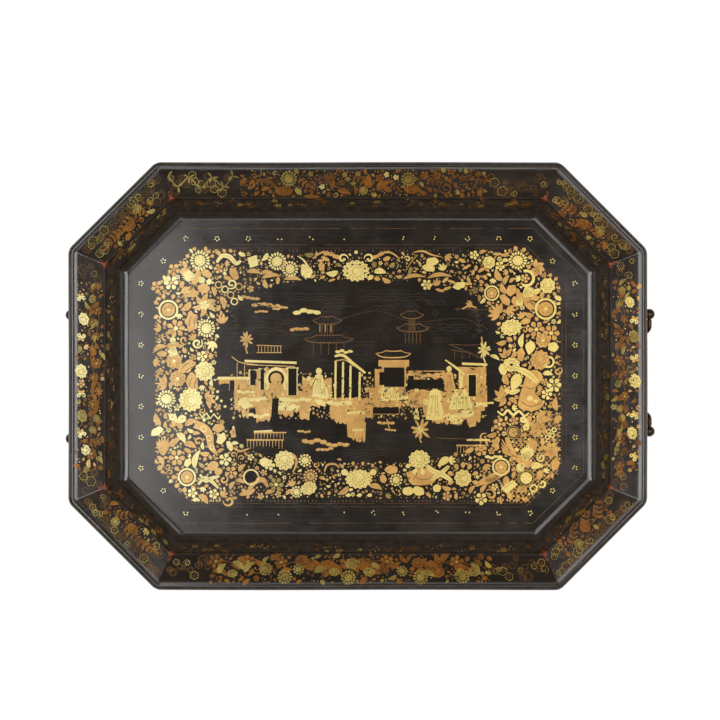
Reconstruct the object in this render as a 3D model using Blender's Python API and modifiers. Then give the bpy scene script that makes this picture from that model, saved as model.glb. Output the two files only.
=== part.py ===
"""Eight-sided lacquered wooden tray: a floor board in a mitred frame of moulded rails,
with a brass bail handle at each end.

Frame: +X runs along the tray to the right handle, +Y to the back rail, +Z up.
The origin is the centre of the underside. All sizes are in metres.
"""

import math

import bmesh
import bpy
from mathutils import Matrix, Vector

MM = 0.001

# Outline and height
LENGTH = 610 * MM  # lip to lip along X
WIDTH = 451 * MM  # lip to lip along Y
CANT = 92 * MM  # leg of each 45 degree corner, at the lip
HEIGHT = 55 * MM  # underside to the top of the lip
FIT_GAP = 0.3 * MM  # between pieces that touch

# Rail section, as (inset from the lip, height)
LIP_RADIUS = 5 * MM  # the half-round edge, so the rim is twice this thick
ROLL_RADIUS = 20 * MM  # the lip rolls over into the straight, sloping rim
CREASE = (37.5 * MM, 41.5 * MM)  # the sloping rim's inner edge
ARRIS_STEP = (0.5 * MM, 1.7 * MM)  # the small fillet below the rim
WALL_SLOPE = 68.0  # degrees from level, of the straight part of the wall
COVE_RADIUS = 19 * MM  # the hollow where the wall runs into the floor
FLOOR_TOP = 8 * MM
UNDER_RADIUS = 36 * MM  # the hollow underside of the rim
UNDER_TURN = 42.0  # degrees of that hollow before the straight back
TOE = 0.3 * MM  # flat margin of the rail, level with the floor
REBATE_DEPTH = 6 * MM
REBATE_HEIGHT = 4 * MM
FOOT_OUTER = 47 * MM  # inset of the foot's outer edge
FOOT_CHAMFER = 1 * MM
MITRE = 22.5  # degrees, half of the 45 degree turn at each corner

# Keys across the mitres
KEY_LENGTH = 16 * MM
KEY_WIDTH = 12 * MM
KEY_THICKNESS = 2 * MM
KEY_TURN = 24.0  # where the key lies round the hollow's centre, and its slope, in degrees
KEY_RADIUS = 39.5 * MM  # from that centre to the middle of the rim's thickness

# Handles
BALL_RADIUS = 5.75 * MM
HOLE_RADIUS = 2.2 * MM  # blind cross hole in the ball
HOLE_PAST_CENTRE = 3.2 * MM
NECK_RADIUS = 2.5 * MM
SHOULDER_RADIUS = 3.3 * MM
SHOULDER_HEIGHT = 0.8 * MM
WASHER_RADIUS = 3.5 * MM
WASHER_HOLE_RADIUS = 2.1 * MM
WASHER_HEIGHT = 0.9 * MM
TANG_RADIUS = 1.8 * MM
TANG_IN_WOOD = 6.6 * MM
ROD_RADIUS = 2.6 * MM
GRIP_RADIUS = 3.1 * MM
JOURNAL_RADIUS = 1.8 * MM
JOURNAL_REACH = 2.2 * MM  # past the ball's centre
STUB = 11.5 * MM  # straight part beside each ball
ELBOW_RADIUS = 7 * MM
CORNER_RADIUS = 17 * MM
CORNER_TURN = 75.0
DROP = 48 * MM  # pivot axis to the outside of the grip
TABLE_CLEARANCE = 0.6 * MM  # under the grip, as the bail leans in at rest

# side along X, distance between the balls, offset along Y,
# and the pivot's inset from the lip (negative is outside it) and height
HANDLES = {
    "right": {"side": 1, "span": 124 * MM, "middle": 3.5 * MM, "inset": -3.5 * MM, "height": 40.5 * MM},
    "left": {"side": -1, "span": 131 * MM, "middle": -0.8 * MM, "inset": 1.0 * MM, "height": 38.8 * MM},
}


def clear_scene():
    for thing in list(bpy.data.objects):
        bpy.data.objects.remove(thing, do_unlink=True)


def collection(name):
    found = bpy.data.collections.new(name)
    bpy.context.scene.collection.children.link(found)
    return found


def material(name, colour, roughness, metallic=0.0, coat=0.0):
    made = bpy.data.materials.new(name)
    made.use_nodes = True
    shader = made.node_tree.nodes["Principled BSDF"]
    shader.inputs["Base Color"].default_value = (*colour, 1.0)
    shader.inputs["Roughness"].default_value = roughness
    shader.inputs["Metallic"].default_value = metallic
    shader.inputs["Coat Weight"].default_value = coat
    made.diffuse_color = (*colour, 1.0)
    return made


def add_object(name, data, group, look=None):
    made = bpy.data.objects.new(name, data)
    group.objects.link(made)
    if look:
        data.materials.append(look)
    return made


def arc(centre, radius, start, end, steps):
    """Points on an arc from start to end, in degrees, both ends included."""
    angles = [math.radians(start + (end - start) * i / steps) for i in range(steps + 1)]
    return [(centre[0] + radius * math.cos(a), centre[1] + radius * math.sin(a)) for a in angles]


def rail_section():
    """The rail's outline as (inset, height), from under the lip round to the back."""
    lip = arc((LIP_RADIUS, HEIGHT - LIP_RADIUS), LIP_RADIUS, 270, 90, 12)
    roll = arc((LIP_RADIUS, HEIGHT - ROLL_RADIUS), ROLL_RADIUS, 90, 90 - roll_turn(), 8)
    cove_inset, cove = cove_arc()
    toe = cove_inset + TOE
    foot_inner = toe - REBATE_DEPTH
    foot = [
        (toe, FLOOR_TOP),
        (toe, REBATE_HEIGHT),
        (foot_inner, REBATE_HEIGHT),
        (foot_inner, 0.0),
        (FOOT_OUTER, 0.0),
        (FOOT_OUTER - FOOT_CHAMFER, FOOT_CHAMFER),
    ]
    under = arc(hollow_centre(), UNDER_RADIUS, 90 - UNDER_TURN, 90, 9)
    return lip + roll[1:] + [CREASE, wall_top()] + cove + foot + under[:-1]


def hollow_centre():
    """The centre of the rim's hollow underside, straight below the lip."""
    return (LIP_RADIUS, HEIGHT - 2 * LIP_RADIUS - UNDER_RADIUS)


def roll_turn():
    """Degrees of the roll before it runs straight to the crease."""
    across = CREASE[0] - LIP_RADIUS
    up = CREASE[1] - (HEIGHT - ROLL_RADIUS)
    return math.degrees(math.atan2(across, up) - math.acos(ROLL_RADIUS / math.hypot(across, up)))


def wall_top():
    return (CREASE[0] + ARRIS_STEP[0], CREASE[1] - ARRIS_STEP[1])


def cove_arc():
    """The inset where the cove meets the floor, and the cove's points."""
    fillet = wall_top()
    slope = math.radians(WALL_SLOPE)
    cove_top = FLOOR_TOP + COVE_RADIUS * (1 - math.cos(slope))
    start = fillet[0] + (fillet[1] - cove_top) / math.tan(slope)
    inset = start + COVE_RADIUS * math.sin(slope)
    centre = (inset, FLOOR_TOP + COVE_RADIUS)
    return inset, arc(centre, COVE_RADIUS, 270 - WALL_SLOPE, 270, 9)


def flat_outline(name, points, half_depth):
    """A filled flat curve, extruded by half_depth to each side."""
    curve = bpy.data.curves.new(name, "CURVE")
    curve.dimensions = "2D"
    curve.fill_mode = "BOTH"
    curve.extrude = half_depth
    spline = curve.splines.new("POLY")
    spline.points.add(len(points) - 1)
    for point, (x, y) in zip(spline.points, points):
        point.co = (x, y, 0.0, 1.0)
    spline.use_cyclic_u = True
    return curve


def welded_mesh(curve, group):
    """The curve's solid as one closed mesh."""
    guide = add_object(curve.name, curve, group)
    bpy.context.view_layer.update()
    seen = guide.evaluated_get(bpy.context.evaluated_depsgraph_get())
    mesh = bpy.data.meshes.new_from_object(seen)
    bpy.data.objects.remove(guide)
    bm = bmesh.new()
    bm.from_mesh(mesh)
    bmesh.ops.remove_doubles(bm, verts=bm.verts, dist=0.001 * MM)
    bmesh.ops.recalc_face_normals(bm, faces=bm.faces)
    bm.to_mesh(mesh)
    bm.free()
    return mesh


def cut_mitre(bm, length, end):
    """Cuts one end of a rail that lies along its own Z axis; end is 1 or -1."""
    lean = math.radians(MITRE)
    normal = Vector((math.sin(lean), 0.0, end * math.cos(lean)))
    at = Vector((0.0, 0.0, end * length / 2)) - normal * FIT_GAP / 2
    whole = bm.verts[:] + bm.edges[:] + bm.faces[:]
    cut = bmesh.ops.bisect_plane(bm, geom=whole, plane_co=at, plane_no=normal, clear_outer=True)
    rim = [g for g in cut["geom_cut"] if isinstance(g, bmesh.types.BMEdge)]
    bmesh.ops.holes_fill(bm, edges=rim, sides=0)


def make_rail(name, length, middle, inward, groups, look):
    """A moulded rail with both ends mitred. middle is the middle of its lip line."""
    curve = flat_outline(name, rail_section(), length / 2 + 5 * MM)
    mesh = welded_mesh(curve, groups["parts"])
    bm = bmesh.new()
    bm.from_mesh(mesh)
    cut_mitre(bm, length, 1)
    cut_mitre(bm, length, -1)
    bmesh.ops.recalc_face_normals(bm, faces=bm.faces)
    bm.to_mesh(mesh)
    bm.free()
    mesh.name = name
    rail = add_object(name, mesh, groups["parts"], look)
    inward = Vector(inward).normalized()
    up = Vector((0.0, 0.0, 1.0))
    axes = Matrix((inward, up, inward.cross(up))).transposed()
    rail.matrix_world = Matrix.Translation(Vector(middle)) @ axes.to_4x4()
    mesh.shade_smooth()
    mesh.set_sharp_from_angle(angle=math.radians(30))
    return rail


def make_rails(groups, look):
    half_x, half_y = LENGTH / 2, WIDTH / 2
    long_run, end_run = LENGTH - 2 * CANT, WIDTH - 2 * CANT
    rails = {}
    for name, run, middle, inward in (
        ("front_rail", long_run, (0, -half_y, 0), (0, 1, 0)),
        ("back_rail", long_run, (0, half_y, 0), (0, -1, 0)),
        ("left_end_rail", end_run, (-half_x, 0, 0), (1, 0, 0)),
        ("right_end_rail", end_run, (half_x, 0, 0), (-1, 0, 0)),
    ):
        rails[name] = make_rail(name, run, middle, inward, groups, look)
    for front_back, sy in (("front", -1), ("back", 1)):
        for left_right, sx in (("left", -1), ("right", 1)):
            name = f"{front_back}_{left_right}_corner_rail"
            middle = (sx * (half_x - CANT / 2), sy * (half_y - CANT / 2), 0)
            rails[name] = make_rail(name, CANT * math.sqrt(2), middle, (-sx, -sy, 0), groups, look)
    return rails


def box_mesh(name, size):
    mesh = bpy.data.meshes.new(name)
    bm = bmesh.new()
    bmesh.ops.create_cube(bm, size=1.0)
    bmesh.ops.scale(bm, vec=size, verts=bm.verts)
    bm.to_mesh(mesh)
    bm.free()
    return mesh


def subtract(target, cutter):
    cut = target.modifiers.new(cutter.name, "BOOLEAN")
    cut.operation = "DIFFERENCE"
    cut.solver = "EXACT"
    cut.object = cutter


def as_cutter(thing):
    thing.hide_render = True
    thing.display_type = "WIRE"
    return thing


def key_pose(corner, inward):
    """Where a key lies: across the mitre, in the middle of the rim's thickness."""
    turn = math.radians(KEY_TURN)
    centre = hollow_centre()
    inset = centre[0] + KEY_RADIUS * math.sin(turn)
    height = centre[1] + KEY_RADIUS * math.cos(turn)
    along = inset / math.cos(math.radians(MITRE))
    up = Vector((0.0, 0.0, 1.0))
    across = inward.cross(up)
    down_slope = inward * math.cos(turn) - up * math.sin(turn)
    axes = Matrix((across, down_slope, across.cross(down_slope))).transposed()
    at = Vector((*corner, height)) + inward * along
    return Matrix.Translation(at) @ axes.to_4x4()


def make_keys(rails, groups, look):
    """One key for each of the eight mitres, let into the rails on both sides."""
    half_x, half_y = LENGTH / 2, WIDTH / 2
    clearance = 2 * FIT_GAP
    for front_back, sy in (("front", -1), ("back", 1)):
        for left_right, sx in (("left", -1), ("right", 1)):
            corner_rail = rails[f"{front_back}_{left_right}_corner_rail"]
            for place, corner, turn, neighbour in (
                ("long", (sx * (half_x - CANT), sy * half_y), 90 - MITRE, f"{front_back}_rail"),
                ("end", (sx * half_x, sy * (half_y - CANT)), MITRE, f"{left_right}_end_rail"),
            ):
                name = f"mitre_key_{front_back}_{left_right}_{place}"
                turn = math.radians(turn)
                inward = Vector((-sx * math.cos(turn), -sy * math.sin(turn), 0.0))
                pose = key_pose(corner, inward)
                size = (KEY_LENGTH, KEY_WIDTH, KEY_THICKNESS)
                key = add_object(name, box_mesh(name, size), groups["parts"], look)
                key.matrix_world = pose
                slot_size = tuple(side + clearance for side in size)
                slot_name = name + "_slot"
                slot = add_object(slot_name, box_mesh(slot_name, slot_size), groups["cutters"])
                slot.matrix_world = pose
                as_cutter(slot)
                subtract(corner_rail, slot)
                subtract(rails[neighbour], slot)


def make_floor(groups, look):
    """The floor board: a chamfered slab whose upper part is set back to fit the rebate."""
    tongue_inset = cove_arc()[0] + TOE - REBATE_DEPTH + FIT_GAP
    tongue_height = REBATE_HEIGHT - FIT_GAP
    size = (LENGTH - 2 * tongue_inset, WIDTH - 2 * tongue_inset, tongue_height)
    leg = CANT - tongue_inset * (2 - math.sqrt(2))
    mesh = box_mesh("floor_panel", size)
    bm = bmesh.new()
    bm.from_mesh(mesh)
    bmesh.ops.translate(bm, vec=(0, 0, tongue_height / 2), verts=bm.verts)
    upright = [e for e in bm.edges if abs(e.verts[0].co.z - e.verts[1].co.z) > tongue_height / 2]
    bmesh.ops.bevel(bm, geom=upright, offset=leg, offset_type="OFFSET", segments=1, affect="EDGES")
    top = [f for f in bm.faces if f.normal.z > 0.9]
    bmesh.ops.inset_region(bm, faces=top, thickness=REBATE_DEPTH, use_even_offset=True)
    raised = bmesh.ops.extrude_face_region(bm, geom=top)
    verts = [g for g in raised["geom"] if isinstance(g, bmesh.types.BMVert)]
    bmesh.ops.translate(bm, vec=(0, 0, FLOOR_TOP - tongue_height), verts=verts)
    bmesh.ops.delete(bm, geom=top, context="FACES")
    bmesh.ops.recalc_face_normals(bm, faces=bm.faces)
    bm.to_mesh(mesh)
    bm.free()
    add_object("floor_panel", mesh, groups["parts"], look)


def turned(name, profile, group, look=None, steps=24):
    """A turned solid about its own Z axis. The profile is (radius, height), top to bottom."""
    mesh = bpy.data.meshes.new(name)
    verts = [(radius, 0.0, height) for radius, height in profile]
    closed = profile[0][0] > 0
    edges = [(i, i + 1) for i in range(len(verts) - 1)]
    if closed:
        edges.append((len(verts) - 1, 0))
    mesh.from_pydata(verts, edges, [])
    made = add_object(name, mesh, group, look)
    screw = made.modifiers.new("Turn", "SCREW")
    screw.steps = steps
    screw.render_steps = steps
    screw.use_merge_vertices = True
    screw.merge_threshold = 0.001 * MM
    screw.use_smooth_shade = True
    return made


def lip_centre_of(handle):
    x = handle["side"] * (LENGTH / 2 - LIP_RADIUS)
    return Vector((x, 0.0, HEIGHT - LIP_RADIUS))


def pivot_of(handle):
    x = handle["side"] * (LENGTH / 2 - handle["inset"])
    return Vector((x, 0.0, handle["height"]))


def seat_distance(handle):
    """From the ball's centre to the flat that is cut in the lip for the washer."""
    reach = (lip_centre_of(handle) - pivot_of(handle)).length
    return reach - math.sqrt(LIP_RADIUS**2 - WASHER_RADIUS**2)


def post_profile(seat):
    """A tang at the top, then the shoulder, the neck and the ball."""
    washer_bottom = seat - FIT_GAP - WASHER_HEIGHT
    shoulder_top = washer_bottom - FIT_GAP
    neck_angle = math.degrees(math.acos(NECK_RADIUS / BALL_RADIUS))
    tang = [(0.0, seat + TANG_IN_WOOD), (TANG_RADIUS, seat + TANG_IN_WOOD), (TANG_RADIUS, shoulder_top)]
    shoulder = [(SHOULDER_RADIUS, shoulder_top), (SHOULDER_RADIUS, shoulder_top - SHOULDER_HEIGHT)]
    neck = [(NECK_RADIUS, shoulder_top - SHOULDER_HEIGHT)]
    ball = arc((0.0, 0.0), BALL_RADIUS, neck_angle, -90, 14)
    return tang + shoulder + neck + ball[:-1] + [(0.0, -BALL_RADIUS)]


def make_posts(name, handle, rail, groups, look):
    """Two ball posts, each with a washer, set obliquely into the underside of the lip."""
    pivot = pivot_of(handle)
    toward_wood = lip_centre_of(handle) - pivot
    lean = math.atan2(toward_wood.x, toward_wood.z)
    seat = seat_distance(handle)
    for place, end in (("back", 1), ("front", -1)):
        at = pivot + Vector((0, handle["middle"] + end * handle["span"] / 2, 0))
        post = turned(f"{name}_{place}_post", post_profile(seat), groups["parts"], look)
        washer_top = seat - FIT_GAP
        ring = [
            (WASHER_RADIUS, washer_top),
            (WASHER_RADIUS, washer_top - WASHER_HEIGHT),
            (WASHER_HOLE_RADIUS, washer_top - WASHER_HEIGHT),
            (WASHER_HOLE_RADIUS, washer_top),
        ]
        washer = turned(f"{name}_{place}_washer", ring, groups["parts"], look)
        drill = seat + TANG_IN_WOOD + FIT_GAP
        bore = [
            (0.0, drill),
            (TANG_RADIUS + FIT_GAP, drill),
            (TANG_RADIUS + FIT_GAP, seat),
            (WASHER_RADIUS + FIT_GAP, seat),
            (WASHER_RADIUS + FIT_GAP, seat - LIP_RADIUS),
            (0.0, seat - LIP_RADIUS),
        ]
        cutter = as_cutter(turned(f"{name}_{place}_bore", bore, groups["cutters"], steps=32))
        for piece in (post, washer, cutter):
            piece.location = at
            piece.rotation_euler = (0.0, lean, 0.0)
        subtract(rail, cutter)
        drill_ball(post, at, end, groups)


def drill_ball(post, centre, end, groups):
    """The blind hole for the bail's journal, which comes in from the handle's middle."""
    mouth = BALL_RADIUS + 2 * MM
    depth = mouth + HOLE_PAST_CENTRE
    profile = [(0.0, depth / 2), (HOLE_RADIUS, depth / 2), (HOLE_RADIUS, -depth / 2), (0.0, -depth / 2)]
    hole = as_cutter(turned(post.name + "_hole", profile, groups["cutters"]))
    hole.rotation_euler = (math.radians(90), 0.0, 0.0)
    hole.location = centre + Vector((0.0, end * (HOLE_PAST_CENTRE - depth / 2), 0.0))
    subtract(post, hole)


def rest_tilt(handle):
    """How far the bail leans in under the rim when its grip comes down to the table."""
    height = handle["height"] - GRIP_RADIUS - TABLE_CLEARANCE
    return math.acos(height / (DROP - GRIP_RADIUS))


def bail_path(span):
    """Half of the bail as (y, z, radius), from the journal's tip to the middle of the grip."""
    half = span / 2
    face = half - BALL_RADIUS - FIT_GAP
    leg = half - STUB - ELBOW_RADIUS
    grip_z = GRIP_RADIUS - DROP
    corner = math.radians(CORNER_TURN)
    bow = math.radians(90 - CORNER_TURN)
    inner = leg - CORNER_RADIUS * (1 - math.cos(corner))
    bow_radius = inner / math.sin(bow)
    bow_start_z = grip_z + bow_radius * (1 - math.cos(bow))
    corner_z = bow_start_z + CORNER_RADIUS * math.sin(corner)
    path = [(half + JOURNAL_REACH, 0.0, JOURNAL_RADIUS), (face, 0.0, JOURNAL_RADIUS)]
    path += [(face - 0.1 * MM, 0.0, ROD_RADIUS), (half - STUB + 1 * MM, 0.0, ROD_RADIUS)]
    elbow = arc((half - STUB, -ELBOW_RADIUS), ELBOW_RADIUS, 90, 180, 7)
    path += [(y, z, ROD_RADIUS) for y, z in elbow]
    lower = arc((leg - CORNER_RADIUS, corner_z), CORNER_RADIUS, 0, -CORNER_TURN, 8)
    path += [(y, z, ROD_RADIUS) for y, z in lower]
    grip = arc((0.0, grip_z + bow_radius), bow_radius, -90 + math.degrees(bow), -90, 6)
    for i, (y, z) in enumerate(grip[1:], start=1):
        swell = math.sin(math.radians(90 * i / 6)) ** 2
        path.append((y, z, ROD_RADIUS + (GRIP_RADIUS - ROD_RADIUS) * swell))
    return path


def make_bail(name, handle, groups, look):
    half = bail_path(handle["span"])
    path = half + [(-y, z, radius) for y, z, radius in reversed(half[:-1])]
    curve = bpy.data.curves.new(name, "CURVE")
    curve.dimensions = "3D"
    curve.bevel_depth = ROD_RADIUS
    curve.bevel_resolution = 3
    curve.use_fill_caps = True
    spline = curve.splines.new("POLY")
    spline.points.add(len(path) - 1)
    for point, (y, z, radius) in zip(spline.points, path):
        point.co = (0.0, y, z, 1.0)
        point.radius = radius / ROD_RADIUS
    spline.use_smooth = True
    bail = add_object(name, curve, groups["parts"], look)
    bail.location = pivot_of(handle) + Vector((0, handle["middle"], 0))
    bail.rotation_euler = (0.0, handle["side"] * rest_tilt(handle), 0.0)


def main():
    clear_scene()
    groups = {"parts": collection("lacquered_tray"), "cutters": collection("cutters")}
    lacquer = material("black_lacquer", (0.022, 0.018, 0.015), 0.28, coat=0.3)
    wood = material("key_wood", (0.42, 0.29, 0.17), 0.7)
    brass = material("dark_brass", (0.16, 0.11, 0.055), 0.38, metallic=1.0)
    rails = make_rails(groups, lacquer)
    make_keys(rails, groups, wood)
    make_floor(groups, lacquer)
    for name, handle in HANDLES.items():
        make_posts(name, handle, rails[f"{name}_end_rail"], groups, brass)
        make_bail(f"{name}_bail", handle, groups, brass)


main()
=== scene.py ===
"""Looks of the eight-sided lacquered tray: camera, light, lacquer, brass and hand-laid gilding.

Objects are in metres, in the frame's axes. Sections and gilding are drawn in millimetres.
The gilding is thin raised gold. Each sheet of it is composed flat and then pressed onto the
floor board or onto one of the eight rails.
"""

import math
import random

import bmesh
import bpy
import numpy as np
from mathutils import Matrix, Vector
from mathutils.geometry import tessellate_polygon


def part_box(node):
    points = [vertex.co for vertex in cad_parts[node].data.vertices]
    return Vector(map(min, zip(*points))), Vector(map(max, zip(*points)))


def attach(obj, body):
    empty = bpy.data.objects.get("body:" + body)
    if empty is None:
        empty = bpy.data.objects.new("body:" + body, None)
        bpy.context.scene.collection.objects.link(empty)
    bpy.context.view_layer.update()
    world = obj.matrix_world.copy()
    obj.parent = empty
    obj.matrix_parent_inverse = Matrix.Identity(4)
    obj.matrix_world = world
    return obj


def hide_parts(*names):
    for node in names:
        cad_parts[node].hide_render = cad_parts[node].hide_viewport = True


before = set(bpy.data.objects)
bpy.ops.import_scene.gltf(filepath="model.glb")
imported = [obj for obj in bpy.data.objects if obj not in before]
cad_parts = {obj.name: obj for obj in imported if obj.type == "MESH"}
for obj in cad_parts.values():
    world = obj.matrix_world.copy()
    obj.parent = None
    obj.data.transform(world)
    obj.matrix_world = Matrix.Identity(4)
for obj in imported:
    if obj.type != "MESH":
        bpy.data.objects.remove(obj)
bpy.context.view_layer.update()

MM = 0.001

# The tray's outline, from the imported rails, in millimetres
HALF_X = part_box("right_end_rail")[1].x / MM
HALF_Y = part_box("back_rail")[1].y / MM
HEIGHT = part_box("back_rail")[1].z / MM
FIT_GAP = 0.3
CANT = HALF_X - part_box("back_rail")[1].x / MM - FIT_GAP / 2

# Rail section, in millimetres
LIP_STEPS = 20
ROLL_STEPS = 14
SLOPE_STEPS = 12
WALL_STEPS = 10
COVE_STEPS = 6  # in each of the foot's two stretches, and twice as many above them
UNDER_STEPS = 16
LIP_RADIUS = 5.0
LIP_TURN = 14.0  # how far the lip's own rounding runs on inward, in degrees
ROLL_RADIUS = 30.0
CREASE_AT = (37.5, 41.5)
ARRIS = ((0.25, 0.45), (0.42, 1.0), (0.5, 1.7))  # the wall's rounded top, in and down from it
WALL_SLOPE = 68.0
COVE_END = 58.5
# The hollow's two lowest stretches: radius, and slope from and to in degrees
COVE_FOOT = ((3.0, 0.0, 14.0), (34.0, 14.0, 22.0))
FLOOR_TOP = 8.0
UNDER_RADIUS = 36.0
UNDER_TURN = 42.0
REBATE_DEPTH = 6.0
REBATE_HEIGHT = 4.0
FOOT_OUTER = 47.0
FOOT_CHAMFER = 1.0
TOE_INSET = HALF_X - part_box("floor_panel")[1].x / MM + REBATE_DEPTH - FIT_GAP
HALF_TURN = math.radians(22.5)  # each mitre takes half of a 45 degree corner
TAN_HALF = math.tan(HALF_TURN)
LIP_CORNER = 14.0  # rounding of the outline's corners, at the lip
# and farther in, by inset: little at the slope, most at the wall, almost none at the floor board
INNER_CORNER = ((30.0, 44.0, 58.0, 63.0), (2.5, 6.0, 6.0, 0.3))
SEAM = 0.02  # hairline between neighbouring pieces

# Hand-made unevenness of the lacquered surface
WAVE_HEIGHT = 0.13
WAVE_DRIFT = 0.22

# How far each rim's slope is lightened toward brown: painted light, most on the back rail and none
# on the front
SLOPE_PAINTED_LIGHT = {"front_rail": 0.0, "back_rail": 0.35}
SLOPE_PAINTED_LIGHT_ELSEWHERE = 0.2
# Where hands have rubbed the lip between the right handle's posts: middle and half in u,
# then middle and width in s, and how much
HAND_RUB = (3, 70, -5.5, 2.6, 0.46)

# Fineness of the meshes
RAIL_STEP = 7.0  # millimetres along a rail
TURN_STEPS = 5  # round half of a corner
FLOOR_SIDES = (12, 50, 12, 30)  # along a corner, a long side, a corner and an end
FLOOR_RINGS = 26
UNDERSIDE_RINGS = (0.7, 0.4, 0.1)
SHARP_FROM = 35  # degrees between faces
BAIL_SIDES = 20

# The gilding's tones, and how high each stands over the lacquer and reaches into it
TONES = ("pale", "peach", "amber", "olive", "line", "faint", "ink")
PALE, PEACH, AMBER, OLIVE, LINE, FAINT, INK = TONES
RISE = dict(zip(TONES, (0.14, 0.09, 0.08, 0.13, 0.06, 0.05, 0.18)))
SUNK = 0.05


# ---------------------------------------------------------------- surfaces

def waves(x, y, z):
    """A slow unevenness that every lacquered surface shares, so that neighbours stay flush."""
    swell = np.sin(x / 37 + 1.3) * np.sin(y / 31 + 0.7) + 0.6 * np.sin(x / 19 + y / 27)
    dz = WAVE_HEIGHT * swell * np.clip(z / FLOOR_TOP, 0, 1)
    dx = WAVE_DRIFT * np.sin(y / 43 + 2.0) * np.clip(z / HEIGHT, 0, 1)
    dy = WAVE_DRIFT * np.sin(x / 52 + 0.4) * np.clip(z / HEIGHT, 0, 1)
    return x + dx, y + dy, z + dz


def arc(centre, radius, start, end, steps):
    angles = [math.radians(start + (end - start) * i / steps) for i in range(steps + 1)]
    return [(centre[0] + radius * math.cos(a), centre[1] + radius * math.sin(a)) for a in angles]


def line(start, end, steps, first=1):
    """Points after start, up to end; with first at 0, from start to just before end."""
    places = range(first, first + steps)
    return [tuple(a + (b - a) * i / steps for a, b in zip(start, end)) for i in places]


def top_section():
    """The visible upper side, from the crown of the lip to the rail's toe, as (inset, height)."""
    lip_turn = math.radians(LIP_TURN)
    lip = (LIP_RADIUS, HEIGHT - LIP_RADIUS)
    shift = LIP_RADIUS - ROLL_RADIUS
    centre = (lip[0] + shift * math.sin(lip_turn), lip[1] + shift * math.cos(lip_turn))
    across, up = CREASE_AT[0] - centre[0], CREASE_AT[1] - centre[1]
    turn = math.degrees(math.atan2(across, up) - math.acos(ROLL_RADIUS / math.hypot(across, up)))
    lip_steps = ROLL_STEPS // 2
    roll = arc(lip, LIP_RADIUS, 90, 90 - LIP_TURN, lip_steps)
    roll += arc(centre, ROLL_RADIUS, 90 - LIP_TURN, 90 - turn, ROLL_STEPS - lip_steps)[1:]
    rim = roll + line(roll[-1], CREASE_AT, SLOPE_STEPS)
    arris = [(CREASE_AT[0] + inward, CREASE_AT[1] - down) for inward, down in ARRIS]
    cove = cove_points(arris[-1])
    wall = line(arris[-1], cove[-1], WALL_STEPS)
    return rim + arris + wall + cove[-2::-1] + [(TOE_INSET, FLOOR_TOP)]


def cove_points(edge):
    """The hollow from the floor up: tight, then easy, then as close as the wall's edge asks."""
    points = [(COVE_END, FLOOR_TOP)]

    def climb(radius, start, end, steps):
        x, z = points[-1]
        low = math.radians(start)
        for i in range(1, steps + 1):
            slope = math.radians(start + (end - start) * i / steps)
            across, up = math.sin(slope) - math.sin(low), math.cos(low) - math.cos(slope)
            points.append((x - radius * across, z + radius * up))

    for radius, start, end in COVE_FOOT:
        climb(radius, start, end, COVE_STEPS)
    slope, low = math.radians(WALL_SLOPE), math.radians(COVE_FOOT[-1][2])
    x, z = points[-1]
    spare = x - edge[0] - (edge[1] - z) / math.tan(slope)
    share = math.sin(slope) - math.sin(low) - (math.cos(low) - math.cos(slope)) / math.tan(slope)
    climb(spare / share, COVE_FOOT[-1][2], WALL_SLOPE, 2 * COVE_STEPS)
    return points


def whole_section():
    """The rail's closed outline, from under the lip round to the back."""
    lip = arc((LIP_RADIUS, HEIGHT - LIP_RADIUS), LIP_RADIUS, 270, 90, LIP_STEPS)
    top = top_section()
    toe = top[-1][0]
    foot_inner = toe - REBATE_DEPTH
    foot = [(toe, REBATE_HEIGHT), (foot_inner, REBATE_HEIGHT), (foot_inner, 0.0)]
    foot += [(FOOT_OUTER, 0.0), (FOOT_OUTER - FOOT_CHAMFER, FOOT_CHAMFER)]
    hollow = (LIP_RADIUS, HEIGHT - 2 * LIP_RADIUS - UNDER_RADIUS)
    under = arc(hollow, UNDER_RADIUS, 90 - UNDER_TURN, 90, UNDER_STEPS)
    return lip + top[1:] + foot + under[:-1]


TOP = np.array(top_section())
TOP_STEPS = np.hypot(*np.diff(TOP, axis=0).T)
TOP_S = np.concatenate([[0.0], np.cumsum(TOP_STEPS)])
TOP_NORMAL = np.gradient(TOP, TOP_S, axis=0)[:, ::-1] * np.array([-1.0, 1.0])
TOP_NORMAL /= np.linalg.norm(TOP_NORMAL, axis=1)[:, None]
CREASE = TOP_S[ROLL_STEPS + SLOPE_STEPS]  # where the rim ends and the wall begins


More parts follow.
